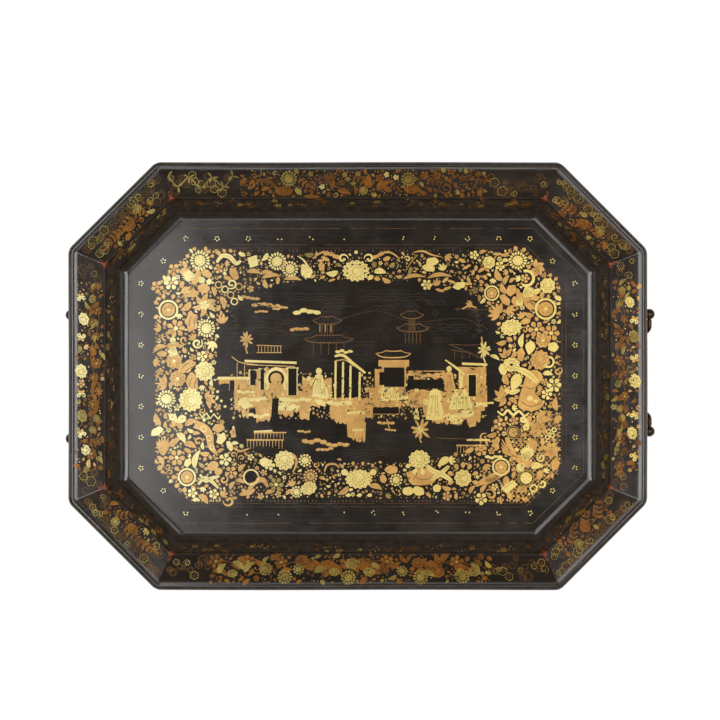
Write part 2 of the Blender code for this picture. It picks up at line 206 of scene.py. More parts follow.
class Rail:
    """One side of the frame. u runs along it from its middle, seen from outside, and s runs
    inward over the upper surface from the lip's crown."""

    def __init__(self, name, run, middle, inward):
        self.name = name
        self.run = run
        self.middle = np.array(middle, float)
        self.inward = np.array(inward, float) / math.hypot(*inward)
        self.along = np.array([self.inward[1], -self.inward[0]])

    def corner(self, inset):
        """The rounding at an inset, and half of the straight stretch there."""
        radius = np.maximum(LIP_CORNER - inset, np.interp(inset, *INNER_CORNER))
        straight = self.run / 2 - inset * TAN_HALF - radius * TAN_HALF
        return radius, straight

    def place(self, u, inset, height):
        """World points, in metres."""
        radius, straight = self.corner(inset)
        past = np.clip(np.abs(u) - straight, 0, radius * math.sin(HALF_TURN) - SEAM)
        pulled = inset + radius - np.sqrt(radius**2 - past**2)
        across = np.sign(u) * (np.minimum(np.abs(u), straight) + past)
        x = self.middle[0] + self.along[0] * across + self.inward[0] * pulled
        y = self.middle[1] + self.along[1] * across + self.inward[1] * pulled
        return np.stack(waves(x, y, height), axis=1) * MM

    def press(self, u, s, lift):
        """World points over the upper surface, lifted off it."""
        inset, height = np.interp(s, TOP_S, TOP[:, 0]), np.interp(s, TOP_S, TOP[:, 1])
        lean, up = np.interp(s, TOP_S, TOP_NORMAL[:, 0]), np.interp(s, TOP_S, TOP_NORMAL[:, 1])
        return self.place(u, inset + lean * lift, height + up * lift)

    def reach(self, s):
        """How far from the middle a mark at s may go before the mitre."""
        return self.run / 2 - float(np.interp(s, TOP_S, TOP[:, 0])) * TAN_HALF


def make_rail_table():
    long_run, end_run = 2 * HALF_X - 2 * CANT, 2 * HALF_Y - 2 * CANT
    table = {
        "front_rail": Rail("front_rail", long_run, (0, -HALF_Y), (0, 1)),
        "back_rail": Rail("back_rail", long_run, (0, HALF_Y), (0, -1)),
        "left_end_rail": Rail("left_end_rail", end_run, (-HALF_X, 0), (1, 0)),
        "right_end_rail": Rail("right_end_rail", end_run, (HALF_X, 0), (-1, 0)),
    }
    for end, sy in (("front", -1), ("back", 1)):
        for side, sx in (("left", -1), ("right", 1)):
            name = f"{end}_{side}_corner_rail"
            middle = (sx * (HALF_X - CANT / 2), sy * (HALF_Y - CANT / 2))
            table[name] = Rail(name, CANT * math.sqrt(2), middle, (-sx, -sy))
    return table


RAILS = make_rail_table()


def press_floor(x, y, lift):
    return np.stack(waves(x, y, np.full_like(x, FLOOR_TOP) + lift), axis=1) * MM


# ---------------------------------------------------------------- meshes

def mesh_object(name, verts, faces, smooth=True):
    mesh = bpy.data.meshes.new(name)
    mesh.from_pydata([tuple(v) for v in verts], [], faces)
    if smooth:
        mesh.shade_smooth()
        mesh.set_sharp_from_angle(angle=math.radians(SHARP_FROM))
    made = bpy.data.objects.new(name, mesh)
    bpy.context.scene.collection.objects.link(made)
    return made


def ring_faces(rings, count, first=0):
    """Quads between rings of count points each."""
    faces = []
    for i in range(rings - 1):
        a = first + i * count
        for j in range(count):
            k = (j + 1) % count
            faces.append((a + j, a + k, a + count + k, a + count + j))
    return faces


def end_faces(rings, count):
    """The two caps of a closed tube."""
    last = (rings - 1) * count
    return [tuple(range(count - 1, -1, -1)), tuple(last + j for j in range(count))]


def dress(piece, look, body, slot, *replaced):
    """Gives a piece its material and the body that it rides on, and hides the CAD nodes it stands
    for.
    """
    piece.data.materials.append(look)
    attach(piece, body)
    if replaced:
        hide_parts(*replaced)


def add_lay(mesh, pairs):
    """A UV map in metres: along and across the piece, one pair for each vertex."""
    layer = mesh.uv_layers.new(name="lay")
    loops = np.zeros(len(mesh.loops), np.int32)
    mesh.loops.foreach_get("vertex_index", loops)
    layer.data.foreach_set("uv", (np.asarray(pairs)[loops] * MM).astype(np.float32).ravel())


def add_weight(mesh, name, values):
    attribute = mesh.attributes.new(name, "FLOAT", "POINT")
    attribute.data.foreach_set("value", np.asarray(values, np.float32))


def bell(value, middle, width):
    return np.exp(-(((value - middle) / width) ** 2))


def rail_mesh(rail):
    """A rail with mitred ends and rounded outline corners, and its lacquer's lay and wear."""
    section = np.array(whole_section())
    steps = np.hypot(*np.diff(section, axis=0).T)
    around = np.concatenate([[0.0], np.cumsum(steps)])
    around -= around[LIP_STEPS]
    radius, straight = rail.corner(section[:, 0])
    pieces = max(10, int(rail.run / RAIL_STEP))
    stations = [(0.0, i / pieces * 2 - 1) for i in range(pieces + 1)]
    turns = [i / TURN_STEPS for i in range(1, TURN_STEPS + 1)]
    stations = [(-t, -1.0) for t in reversed(turns)] + stations + [(t, 1.0) for t in turns]
    verts, lays = [], []
    for turn, share in stations:
        past = radius * math.sin(HALF_TURN) * abs(turn)
        u = share * straight + np.sign(turn) * past
        verts.append(rail.place(u, section[:, 0], section[:, 1]))
        lays.append(np.stack([u, around], axis=1))
    size = len(stations), len(section)
    faces = ring_faces(*size) + end_faces(*size)
    made = mesh_object(rail.name + "_lacquered", np.concatenate(verts), faces)
    lays = np.concatenate(lays)
    add_lay(made.data, lays)
    u, s = lays[:, 0], lays[:, 1]
    inset = np.tile(section[:, 0], len(stations))
    to_mitre = rail.run / 2 - inset * TAN_HALF - np.abs(u)
    crease = bell(s, CREASE + 1, 5.0)
    crease += 0.6 * bell(s, CREASE - 7, 3.0) + 0.4 * bell(s, CREASE + 10, 4.0)
    wear = 0.70 * np.exp(-np.abs(to_mitre) / 5.0) * crease
    if rail.name == "right_end_rail":
        middle, half, at, width, amount = HAND_RUB
        between = np.clip((half - np.abs(u - middle)) / 12, 0, 1)
        wear += amount * between * bell(s, at, width)
    add_weight(made.data, "wear", np.clip(wear, 0, 1))
    # painted light: the wall below the crease is lightened toward brown, standing in for the light
    # it catches
    wall = np.clip((s - CREASE) / 5, 0, 1) * np.clip((CREASE + 40 - s) / 16, 0, 1)
    thinning_and_painted_light = bell(s, -5.0, 4.0) + 0.5 * bell(s, CREASE, 1.2) + 0.85 * wall
    # painted light: each rim's slope is lightened toward brown by its own amount
    slope = SLOPE_PAINTED_LIGHT.get(rail.name, SLOPE_PAINTED_LIGHT_ELSEWHERE)
    thinning_and_painted_light += slope * bell(s, CREASE / 2, CREASE / 3)
    # the lip weight carries thinned lacquer at the lip and arris, and painted light on the wall
    # and slope
    add_weight(made.data, "lip", thinning_and_painted_light)
    flip_out(made)
    return made


def flip_out(thing):
    bm = bmesh.new()
    bm.from_mesh(thing.data)
    bmesh.ops.recalc_face_normals(bm, faces=bm.faces)
    bm.to_mesh(thing.data)
    bm.free()


def octagon(x, y, inset=None):
    """The corners of the tray's outline drawn in to half a length and half a width."""
    if inset is None:
        inset = (HALF_X - x + HALF_Y - y) / 2
    leg = CANT - inset * (2 - math.sqrt(2))
    corners = [(x, y - leg), (x - leg, y), (leg - x, y), (-x, y - leg)]
    return corners + [(-px, -py) for px, py in corners]


def octagon_points(inset):
    """Points round the tray's outline, moved inward."""
    corners = octagon(HALF_X - inset, HALF_Y - inset, inset)
    points = []
    for start, end, count in zip(corners, corners[1:] + corners[:1], FLOOR_SIDES * 2):
        points += line(start, end, count, first=0)
    return np.array(points)


def floor_mesh():
    """The floor board, with a close mesh on top so that it shares the rails' unevenness."""
    edge = TOE_INSET + SEAM
    tongue = TOE_INSET - REBATE_DEPTH + FIT_GAP
    under_tongue = REBATE_HEIGHT - FIT_GAP
    shares = [i / FLOOR_RINGS for i in range(1, FLOOR_RINGS + 1)]
    outer, lower = octagon_points(edge), octagon_points(tongue)
    rings = [(outer * t, FLOOR_TOP) for t in shares]
    rings += [(outer, under_tongue), (lower, under_tongue), (lower, 0.0)]
    rings += [(lower * t, 0.0) for t in UNDERSIDE_RINGS]
    flat = [np.array([[0.0, 0.0, FLOOR_TOP]])]
    flat += [np.column_stack([ring, np.full(len(ring), z)]) for ring, z in rings]
    flat.append(np.array([[0.0, 0.0, 0.0]]))
    flat = np.concatenate(flat)
    around = len(outer)
    faces = [(0, 1 + (j + 1) % around, 1 + j) for j in range(around)]
    faces += ring_faces(len(rings), around, 1)
    last = 1 + (len(rings) - 1) * around
    faces += [(last + j, last + (j + 1) % around, len(flat) - 1) for j in range(around)]
    verts = np.stack(waves(*flat.T), axis=1) * MM
    made = mesh_object("floor_panel_lacquered", verts, faces)
    add_lay(made.data, flat[:, :2])
    add_weight(made.data, "wear", np.zeros(len(flat)))
    add_weight(made.data, "lip", np.zeros(len(flat)))
    flip_out(made)
    return made


# ---------------------------------------------------------------- handles

# A bail and its ball posts, in millimetres, and its corner in degrees
STUB = 11.5
ELBOW_RADIUS = 7.0
CORNER_RADIUS = 17.0
CORNER_TURN = 75.0
DROP = 48.0
ROD_RADIUS = 2.6
GRIP_RADIUS = 3.1
JOURNAL_RADIUS = 1.8
JOURNAL_REACH = 2.2
BALL_RADIUS = 5.75
TABLE_CLEARANCE = 0.6
ELBOW_STEPS = 12
CORNER_STEPS = 16
GRIP_STEPS = 14  # to the middle of the grip
HANDLES = {
    "right": {"side": 1, "span": 124.0, "middle": 3.5, "inset": -3.5, "height": 40.5},
    "left": {"side": -1, "span": 131.0, "middle": -0.8, "inset": 1.0, "height": 38.8},
}


def bail_path(span):
    """Half of the bail as (y, z, radius), from the journal's tip to the middle of the grip."""
    half = span / 2
    face = half - BALL_RADIUS - FIT_GAP
    leg = half - STUB - ELBOW_RADIUS
    grip_z = GRIP_RADIUS - DROP
    corner, bow = math.radians(CORNER_TURN), math.radians(90 - CORNER_TURN)
    bow_radius = (leg - CORNER_RADIUS * (1 - math.cos(corner))) / math.sin(bow)
    bow_start_z = grip_z + bow_radius * (1 - math.cos(bow))
    corner_z = bow_start_z + CORNER_RADIUS * math.sin(corner)
    tip = half + JOURNAL_REACH
    path = [(tip, 0.0, JOURNAL_RADIUS * 0.8), (tip - 0.4, 0.0, JOURNAL_RADIUS)]
    path += [(face, 0.0, JOURNAL_RADIUS), (face - 0.1, 0.0, ROD_RADIUS - 0.4)]
    path += [(face - 0.5, 0.0, ROD_RADIUS), (half - STUB + 1.0, 0.0, ROD_RADIUS)]
    elbow = arc((half - STUB, -ELBOW_RADIUS), ELBOW_RADIUS, 90, 180, ELBOW_STEPS)
    path += [(y, z, ROD_RADIUS) for y, z in elbow]
    at = (leg - CORNER_RADIUS, corner_z)
    lower = arc(at, CORNER_RADIUS, 0, -CORNER_TURN, CORNER_STEPS)
    path += [(y, z, ROD_RADIUS) for y, z in lower]
    start = -90 + math.degrees(bow)
    grip = arc((0.0, grip_z + bow_radius), bow_radius, start, -90, GRIP_STEPS)
    for i, (y, z) in enumerate(grip[1:], start=1):
        swell = math.sin(math.radians(90 * i / GRIP_STEPS)) ** 2
        path.append((y, z, ROD_RADIUS + (GRIP_RADIUS - ROD_RADIUS) * swell))
    return path


def bail_mesh(name, handle):
    half = bail_path(handle["span"])
    path = np.array(half + [(-y, z, radius) for y, z, radius in reversed(half[:-1])])
    heading = np.gradient(path[:, :2], axis=0)
    heading /= np.linalg.norm(heading, axis=1)[:, None]
    verts = []
    for (y, z, radius), (dy, dz) in zip(path, heading):
        for j in range(BAIL_SIDES):
            a = 2 * math.pi * j / BAIL_SIDES
            out = radius * math.cos(a)
            verts.append((radius * math.sin(a), y - dz * out, z + dy * out))
    faces = ring_faces(len(path), BAIL_SIDES) + end_faces(len(path), BAIL_SIDES)
    side, height = handle["side"], handle["height"]
    tilt = math.acos((height - GRIP_RADIUS - TABLE_CLEARANCE) / (DROP - GRIP_RADIUS))
    pivot = (side * (HALF_X - handle["inset"]) * MM, handle["middle"] * MM, height * MM)
    pose = Matrix.Translation(pivot) @ Matrix.Rotation(side * tilt, 4, "Y")
    made = mesh_object(name, [pose @ (Vector(v) * MM) for v in verts], faces)
    flip_out(made)
    return made


# ---------------------------------------------------------------- materials

def feed(socket, value):
    """Links a socket to another, or sets its value; a colour is given without its alpha."""
    if isinstance(value, bpy.types.NodeSocket):
        socket.id_data.links.new(value, socket)
    elif socket.type == "RGBA":
        socket.default_value = (*value, 1.0)
    else:
        socket.default_value = value


class Look:
    """A Principled material and short ways to build its nodes."""

    def __init__(self, name, roughness, metallic=0.0, specular=0.5):
        self.material = bpy.data.materials.new(name)
        self.material.use_nodes = True
        self.tree = self.material.node_tree
        self.shader = self.tree.nodes["Principled BSDF"]
        self.shader.inputs["Roughness"].default_value = roughness
        self.shader.inputs["Metallic"].default_value = metallic
        self.shader.inputs["Specular IOR Level"].default_value = specular

    def node(self, kind, settings=None, **inputs):
        made = self.tree.nodes.new(kind)
        for key, value in (settings or {}).items():
            setattr(made, key, value)
        for key, value in inputs.items():
            feed(made.inputs[key.replace("_", " ")], value)
        return made

    def link(self, output, name):
        feed(self.shader.inputs[name], output)

    def place(self, scale=(1.0, 1.0, 1.0), lay=False):
        """The object's own coordinates, or the lay of the piece, scaled."""
        if lay:
            output = self.node("ShaderNodeUVMap", {"uv_map": "lay"}).outputs["UV"]
        else:
            output = self.node("ShaderNodeTexCoord").outputs["Object"]
        return self.node("ShaderNodeMapping", Vector=output, Scale=scale).outputs["Vector"]

    def noise(self, vector, scale, detail=3.0, rough=0.55):
        values = {"Vector": vector, "Scale": scale, "Detail": detail, "Roughness": rough}
        return self.node("ShaderNodeTexNoise", **values).outputs["Fac"]

    def cut(self, value, low, high, to_low=0.0, to_high=1.0):
        """Maps low to high onto to_low to to_high, and holds the value there outside them."""
        ends = {"From_Min": low, "From_Max": high, "To_Min": to_low, "To_Max": to_high}
        return self.node("ShaderNodeMapRange", Value=value, **ends).outputs["Result"]

    def maths(self, operation, first, second):
        made = self.node("ShaderNodeMath", {"operation": operation})
        for socket, value in zip(made.inputs, (first, second)):
            feed(socket, value)
        return made.outputs[0]

    def blend(self, share, first, second):
        """The first colour where share is 0, and the second where it is 1."""
        made = self.node("ShaderNodeMix", {"data_type": "RGBA"})
        colours = [s for s in made.inputs if s.type == "RGBA"]
        for socket, value in zip([made.inputs[0]] + colours, (share, first, second)):
            feed(socket, value)
        return next(s for s in made.outputs if s.type == "RGBA")

    def bump(self, height, distance, strength=1.0, under=None):
        made = self.node("ShaderNodeBump", Height=height, Strength=strength, Distance=distance)
        if under:
            feed(made.inputs["Normal"], under)
        return made.outputs["Normal"]

    def weight(self, name):
        return self.node("ShaderNodeAttribute", {"attribute_name": name}).outputs["Fac"]


# The lacquer's colours
BLACK = (0.0088, 0.0064, 0.0045)
BROWN = (0.028, 0.017, 0.0090)
THINNED_AND_PAINTED_LIGHT = (0.115, 0.090, 0.070)
SORE = (0.050, 0.016, 0.008)
UNDERCOAT = ((0.42, 0.062, 0.008), (0.13, 0.024, 0.006))
# Painted shade that darkens the gold across the middle of the tray, and what shows where the gold
# has gone
MIDDLE_PAINTED_SHADE = (0.030, 0.018, 0.008)
BARE = (0.018, 0.012, 0.008)


def lacquer(name):
    """Old black lacquer: brown where it has thinned, streaked along the piece, with the red
    undercoat showing where it has chipped, and lighter brown on the walls and slopes as
    painted light."""
    look = Look(name, 0.2, specular=0.435)
    flat = look.place()
    streaked = look.place((14.0, 420.0, 1.0), lay=True)
    patches = look.cut(look.noise(flat, 16.0, 4.0), 0.42, 0.72)
    streaks = look.cut(look.noise(streaked, 1.0, 4.0, 0.7), 0.35, 0.75)
    colour = look.blend(look.maths("MULTIPLY", patches, 0.6), BLACK, BROWN)
    colour = look.blend(look.maths("MULTIPLY", streaks, 0.35), colour, BROWN)
    spots = look.cut(look.noise(flat, 120.0, 3.0), 0.1, 0.65)
    # thinned lacquer at the lip and arris, and painted light on the wall and slope, both from the
    # lip weight
    rubbed = look.maths("MULTIPLY", look.weight("lip"), spots)
    colour = look.blend(look.maths("MULTIPLY", rubbed, 0.6), colour, THINNED_AND_PAINTED_LIGHT)
    sore = look.maths("MULTIPLY", look.weight("wear"), 0.9)
    colour = look.blend(sore, colour, SORE)
    crumbs = look.noise(flat, 560.0, 5.0, 0.65)
    chipped = look.cut(look.maths("ADD", look.weight("wear"), crumbs), 0.86, 0.98)
    red = look.blend(look.noise(flat, 400.0, 2.0), *UNDERCOAT)
    colour = look.blend(chipped, colour, red)
    look.link(colour, "Base Color")
    haze = look.cut(look.noise(flat, 38.0, 5.0, 0.6), 0.3, 0.75, 0.11, 0.21)
    haze = look.maths("ADD", haze, look.maths("MULTIPLY", streaks, 0.05))
    look.link(look.maths("ADD", haze, look.maths("MULTIPLY", chipped, 0.4)), "Roughness")
    fine = look.bump(look.noise(streaked, 1.0, 5.0, 0.75), 0.00003)
    pits = look.bump(look.noise(flat, 900.0, 2.0), 0.000015, under=fine)
    look.link(look.bump(chipped, 0.00012, 0.6, under=pits), "Normal")
    return look.material


GILT = {
    PALE: ((0.97, 0.87, 0.42), (0.81, 0.68, 0.27)),
    PEACH: ((0.80, 0.52, 0.205), (0.56, 0.325, 0.105)),
    AMBER: ((0.355, 0.138, 0.010), (0.130, 0.050, 0.005)),
    OLIVE: ((0.47, 0.37, 0.100), (0.19, 0.135, 0.028)),
    LINE: ((0.21, 0.105, 0.024), (0.075, 0.038, 0.012)),
    FAINT: ((0.060, 0.040, 0.016), (0.026, 0.018, 0.009)),
}
WARMER = (0.90, 0.78, 0.50)  # what the light gold turns to, toward the right


def gilt(name, tone, worn):
    """Gold laid on lacquer: mottled, rubbed through in specks and soft streaks, and darkened by
    painted shade across the middle of the tray.
    """
    look = Look(name, 0.45, 0.12, 0.25)
    flat = look.place()
    x = look.node("ShaderNodeSeparateXYZ", Vector=flat).outputs["X"]
    across = look.cut(x, -0.20, 0.02)
    light, deep = (
        look.blend(across, tint, tuple(t * w for t, w in zip(tint, WARMER)))
        for tint in GILT[tone]
    )
    colour = look.blend(look.cut(look.noise(flat, 70.0, 4.0, 0.6), 0.35, 0.68), light, deep)
    # painted shade: the gold is darkened across the middle of the tray
    middle_shade = look.cut(look.maths("ABSOLUTE", x, 0.0), 0.12, 0.17, 0.19, 0.0)
    colour = look.blend(middle_shade, colour, MIDDLE_PAINTED_SHADE)
    fine = look.noise(flat, 520.0, 3.0, 0.7)
    colour = look.blend(look.cut(fine, 0.5, 0.8), colour, deep)
    large = look.cut(look.noise(flat, 24.0, 3.0), 0.35, 0.7, -0.1, 0.16)
    specks = look.maths("ADD", look.noise(flat, 330.0, 5.0, 0.7), large)
    bare = look.cut(specks, 0.74 - worn, 0.80 - worn)
    colour = look.blend(bare, colour, BARE)
    look.link(colour, "Base Color")
    look.link(look.cut(fine, 0.3, 0.8, 0.34, 0.6), "Roughness")
    look.link(look.cut(bare, 0.0, 1.0, 0.12, 0.0), "Metallic")
    look.link(look.bump(fine, 0.00004, 0.7), "Normal")
    return look.material


def ink():
    look = Look("black_line", 0.3, specular=0.35)
    flat = look.place()
    shades = (0.006, 0.0045, 0.0035), (0.018, 0.012, 0.007)
    look.link(look.blend(look.noise(flat, 300.0), *shades), "Base Color")
    look.link(look.cut(look.noise(flat, 500.0), 0.3, 0.7, 0.12, 0.2), "Roughness")
    return look.material


def dark_brass():
    """Cast brass gone almost black, bright only where hands have rubbed it."""
    look = Look("dark_brass", 0.35, 0.9)
    flat = look.place()
    patina = look.cut(look.noise(flat, 140.0, 5.0, 0.65), 0.35, 0.75)
    colour = look.blend(patina, (0.030, 0.022, 0.015), (0.085, 0.055, 0.026))
    fine = look.noise(flat, 900.0, 3.0, 0.7)
    colour = look.blend(look.cut(fine, 0.6, 0.8), colour, (0.02, 0.018, 0.014))
    look.link(colour, "Base Color")
    look.link(look.cut(patina, 0.0, 1.0, 0.42, 0.26), "Roughness")
    look.link(look.bump(fine, 0.00006, 0.7), "Normal")
    return look.material


def key_wood():
    look = Look("key_wood", 0.7)
    grain = look.place((60.0, 900.0, 900.0))
    fibres = look.noise(grain, 1.0, 4.0, 0.6)
    look.link(look.blend(fibres, (0.45, 0.31, 0.18), (0.26, 0.16, 0.085)), "Base Color")
    look.link(look.cut(fibres, 0.3, 0.7, 0.6, 0.8), "Roughness")
    look.link(look.bump(fibres, 0.0001, 0.5), "Normal")
    return look.material


# ---------------------------------------------------------------- drawing

class Sheet:
    """A flat drawing in millimetres: outlines by tone, and a note of where they lie."""

    def __init__(self, seed):
        self.rng = random.Random(seed)
        self.marks = {}
        self.taken = set()

    def add(self, tone, outline):
        self.marks.setdefault(tone, []).append(outline)
        if tone in (LINE, FAINT):
            return
        middle = np.mean(outline, axis=0)
        for share in (0.0, 0.35, 0.7, 1.0):
            for x, y in outline:
                at = middle + share * (np.array((x, y)) - middle)
                self.taken.add((round(at[0]), round(at[1])))

    def free(self, x, y, reach):
        for i in range(round(x - reach), round(x + reach) + 1):
            for j in range(round(y - reach), round(y + reach) + 1):
                if (i, j) in self.taken and math.hypot(i - x, j - y) <= reach:
                    return False
        return True


def away(at, distance, turn):
    """The point at a distance from another; turn is in degrees from +X."""
    a = math.radians(turn)
    return at[0] + distance * math.cos(a), at[1] + distance * math.sin(a)


def placed(at, turn):
    """A function that turns a point by some degrees and moves it to a place."""
    c, s = math.cos(math.radians(turn)), math.sin(math.radians(turn))
    return lambda x, y: (at[0] + x * c - y * s, at[1] + x * s + y * c)


def smooth_through(points, steps=5):
    """A smooth curve through the points."""
    ends = [points[0]] + list(points) + [points[-1]]
    curve = []
    for p0, p1, p2, p3 in zip(ends, ends[1:], ends[2:], ends[3:]):
        for i in range(steps):
            t = i / steps
            outer = (-t + 2 * t**2 - t**3, t**3 - t**2)
            inner = (2 - 5 * t**2 + 3 * t**3, t + 4 * t**2 - 3 * t**3)
            shares = ((outer[0], p0), (inner[0], p1), (inner[1], p2), (outer[1], p3))
            curve.append(tuple(sum(w * p[k] for w, p in shares) / 2 for k in (0, 1)))
    return curve + [tuple(points[-1])]


def stroke(sheet, tone, points, start, end=None, middle=None, smooth=True):
    """A brush line that swells from start through middle to end."""
    path = np.array(smooth_through(points) if smooth and len(points) > 2 else points, float)
    end = start if end is None else end
    middle = (start + end) / 2 if middle is None else middle
    heading = np.gradient(path, axis=0)
    heading /= np.linalg.norm(heading, axis=1)[:, None] + 1e-9
    side = heading[:, ::-1] * np.array([-1.0, 1.0])
    t = np.linspace(0, 1, len(path))
    width = start * (1 - t) * (1 - 2 * t) + middle * 4 * t * (1 - t) + end * t * (2 * t - 1)
    half = width[:, None] / 2
    outline = np.concatenate([path + side * half, (path - side * half)[::-1]])
    sheet.add(tone, [tuple(p) for p in outline])


def ring(sheet, tone, at, radius, width, start=0.0, sweep=358.0, points=22):
    angles = [start + sweep * i / points for i in range(points + 1)]
    stroke(sheet, tone, [away(at, radius, a) for a in angles], width, width, smooth=False)


def blob(sheet, tone, at, size, turn=0.0, uneven=0.1, points=14):
    """An uneven oval; size is its half length and half width."""
    rng, put = sheet.rng, placed(at, turn)
    phase, wide, narrow = rng.uniform(0, 6.3), rng.uniform(0.3, 1), rng.uniform(0.3, 1)
    outline = []
    for i in range(points):
        a = 2 * math.pi * i / points
        bumps = wide * math.sin(2 * a + phase) + narrow * math.sin(5 * a - phase)
        swell = 1 + uneven * bumps / 1.4
        outline.append(put(size[0] * swell * math.cos(a), size[1] * swell * math.sin(a)))
    sheet.add(tone, outline)


def petal(sheet, tone, base, length, width, turn, steps=5):
    """A rounded petal that grows from its base."""
    put = placed(base, turn)
    left, right = [], []
    for i in range(steps + 1):
        t = i / steps
        swell = math.sin(math.pi * min(1.0, 0.08 + 0.92 * t) ** 1.5)
        half = width / 2 * swell**0.7 if t < 1 else 0.0
        left.append(put(length * t, half))
        right.append(put(length * t, -half))
    sheet.add(tone, left + right[-2::-1])


VEIN = 0.35  # what stays dark along a leaf's midrib, at its foot


def leaf(sheet, tone, base, length, width, turn, bend=0.12, teeth=0.0):
    """A pointed leaf in two halves, so that its midrib stays dark."""
    put, steps = placed(base, turn), 8
    for side in (1, -1):
        rib, edge = [], []
        for i in range(steps + 1):
            t = i / steps
            x, curve = length * t, bend * length * math.sin(math.pi * t)
            half = width / 2 * math.sin(math.pi * t**0.8) ** 0.9 if 0 < t < 1 else 0.0
            half *= 1 - teeth * (i % 2)
            gap = VEIN / 2 * (1 - t)
            for store, y in ((rib, curve + side * gap), (edge, curve + side * max(half, gap))):
                store.append(put(x, y))
        sheet.add(tone, rib + edge[-1:0:-1])


def scroll(sheet, tone, at, radius, width, turn=0.0, hand=1, turns=1.25):
    """A C scroll that winds inward and ends in a bead."""
    count = 16
    points = []
    for i in range(count + 1):
        t = i / count
        points.append(away(at, radius * (1 - 0.72 * t), turn + hand * 360 * turns * t))
    stroke(sheet, tone, points, width * 0.4, width * 0.7, width * 1.2, smooth=False)
    blob(sheet, tone, points[-1], (width * 0.8, width * 0.8), points=8)


def blossom(sheet, tone, at, radius, count, heart=None, turn=0.0):
    """An open flower with separate petals round a heart."""
    width = 2 * math.pi * radius * 0.62 / count * 0.92
    for i in range(count):
        a = turn + 360 * i / count + sheet.rng.uniform(-5, 5)
        petal(sheet, tone, away(at, radius * 0.28, a), radius * 0.74, width, a)
    blob(sheet, heart or tone, at, (radius * 0.24, radius * 0.24), points=8)


def aster(sheet, tone, at, radius, heart=PEACH, turn=0.0):
    """A chrysanthemum: a ring of narrow petals round a full middle with fine black marks."""
    count = max(10, int(radius * 1.7))
    width = 2 * math.pi * radius * 0.78 / count * 0.85
    for i in range(count):
        a = turn + 360 * i / count
        length = radius * sheet.rng.uniform(0.36, 0.46)
        petal(sheet, tone, away(at, radius * 0.6, a), length, width, a, 4)
    blob(sheet, tone, at, (radius * 0.56, radius * 0.54), uneven=0.06)
    for i in range(7):
        a = 360 * i / 7
        stroke(sheet, INK, [away(at, radius * 0.3, a), away(at, radius * 0.48, a + 8)], 0.35, 0.2)
    blob(sheet, heart, at, (radius * 0.2, radius * 0.2), points=8)


def peony(sheet, tone, at, radius, heart=PEACH, squash=1.0, turn=0.0):
    """A full flower with a lobed edge, its petals parted by fine black lines."""
    lobes, put = max(7, int(radius)), placed(at, turn)

    def squashed(distance, a):
        x, y = away((0, 0), distance, a)
        return put(x, y * squash)

    outline = []
    for i in range(lobes * 5):
        a = 360 * i / (lobes * 5)
        swell = radius * (0.84 + 0.16 * abs(math.sin(math.radians(a * lobes / 2))))
        outline.append(squashed(swell * sheet.rng.uniform(0.97, 1.03), a))
    sheet.add(tone, outline)
    for i in range(lobes):
        a = 360 * (i + 0.5) / lobes
        stroke(sheet, INK, [squashed(radius * 0.55, a), squashed(radius * 0.88, a)], 0.25, 0.45)
    for share, sweep in ((0.52, 300), (0.3, 250)):
        reach = radius * share * (1 + squash) / 2
        ring(sheet, INK, at, reach, 0.35, sheet.rng.uniform(0, 360), sweep, 12)
    if heart:
        blob(sheet, heart, at, (radius * 0.2, radius * 0.17 * squash), turn, points=9)


def disc(sheet, tone, at, radius, inner=PEACH):
    """A seed head: a ring round a disc that is dotted black."""
    ring(sheet, tone, at, radius * 0.88, radius * 0.2)
    blob(sheet, inner, at, (radius * 0.66, radius * 0.66), uneven=0.03)
    dots_round(sheet, INK, at, radius * 0.38, 5, 0.5, 6, 20)
    blob(sheet, tone, at, (radius * 0.16, radius * 0.16), points=8)


def fan_of(sheet, tone, base, length, turn, spread, count, width):
    """Feathers or blades that spread from one point."""
    for i in range(count):
        share = i / max(1, count - 1) - 0.5
        reach = length * (1 - 0.9 * share**2) * sheet.rng.uniform(0.92, 1.05)
        a = turn + spread * share
        petal(sheet, tone, away(base, length * 0.12, a), reach, width, a, 4)


def butterfly(sheet, at, size, turn):
    for side in (1, -1):
        petal(sheet, PALE, at, size, size * 0.72, turn + side * 48)
        petal(sheet, PEACH, at, size * 0.75, size * 0.55, turn + side * 128)
        blob(sheet, INK, away(at, size * 0.6, turn + side * 48), (0.8, 0.6), points=7)
        feeler = [at, away(at, size * 0.5, turn + side * 16), away(at, size, turn + side * 22)]
        stroke(sheet, PALE, feeler, 0.3)
    blob(sheet, PEACH, at, (size * 0.36, size * 0.09), turn)


def bird(sheet, at, size, turn=0.0, hand=1):
    """A long-tailed bird in flight."""
    blob(sheet, PEACH, at, (size * 0.42, size * 0.2), turn, 0.05)
    head = away(at, size * 0.48, turn + hand * 18)
    blob(sheet, PEACH, head, (size * 0.15, size * 0.12), turn, 0.04, 10)
    petal(sheet, PALE, away(head, size * 0.1, turn), size * 0.14, size * 0.06, turn - hand * 12, 3)
    blob(sheet, INK, head, (0.45, 0.45), points=6)
    for share, reach, out, spread, count, width in (
        (0.08, 0.72, hand * 112, 62, 9, 0.1), (0.1, 0.5, -hand * 100, 50, 6, 0.09)
    ):
        base = away(at, size * share, turn)
        fan_of(sheet, PALE, base, size * reach, turn + out, spread, count, size * width)
    tail = away(at, size * 0.34, turn + 180)
    for i in range(4):
        a = turn + 180 + hand * (8 * i - 14)
        bend = away(tail, size * 0.55, a + hand * 8)
        stroke(sheet, PEACH, [tail, bend, away(tail, size * (1.05 - 0.1 * i), a)], 1.0, 0.5, 1.9)


def ribbon(sheet, tone, points, width):
    stroke(sheet, tone, points, width * 0.5, width * 0.5, width)
    stroke(sheet, INK, points[1:-1] if len(points) > 4 else points, 0.25)


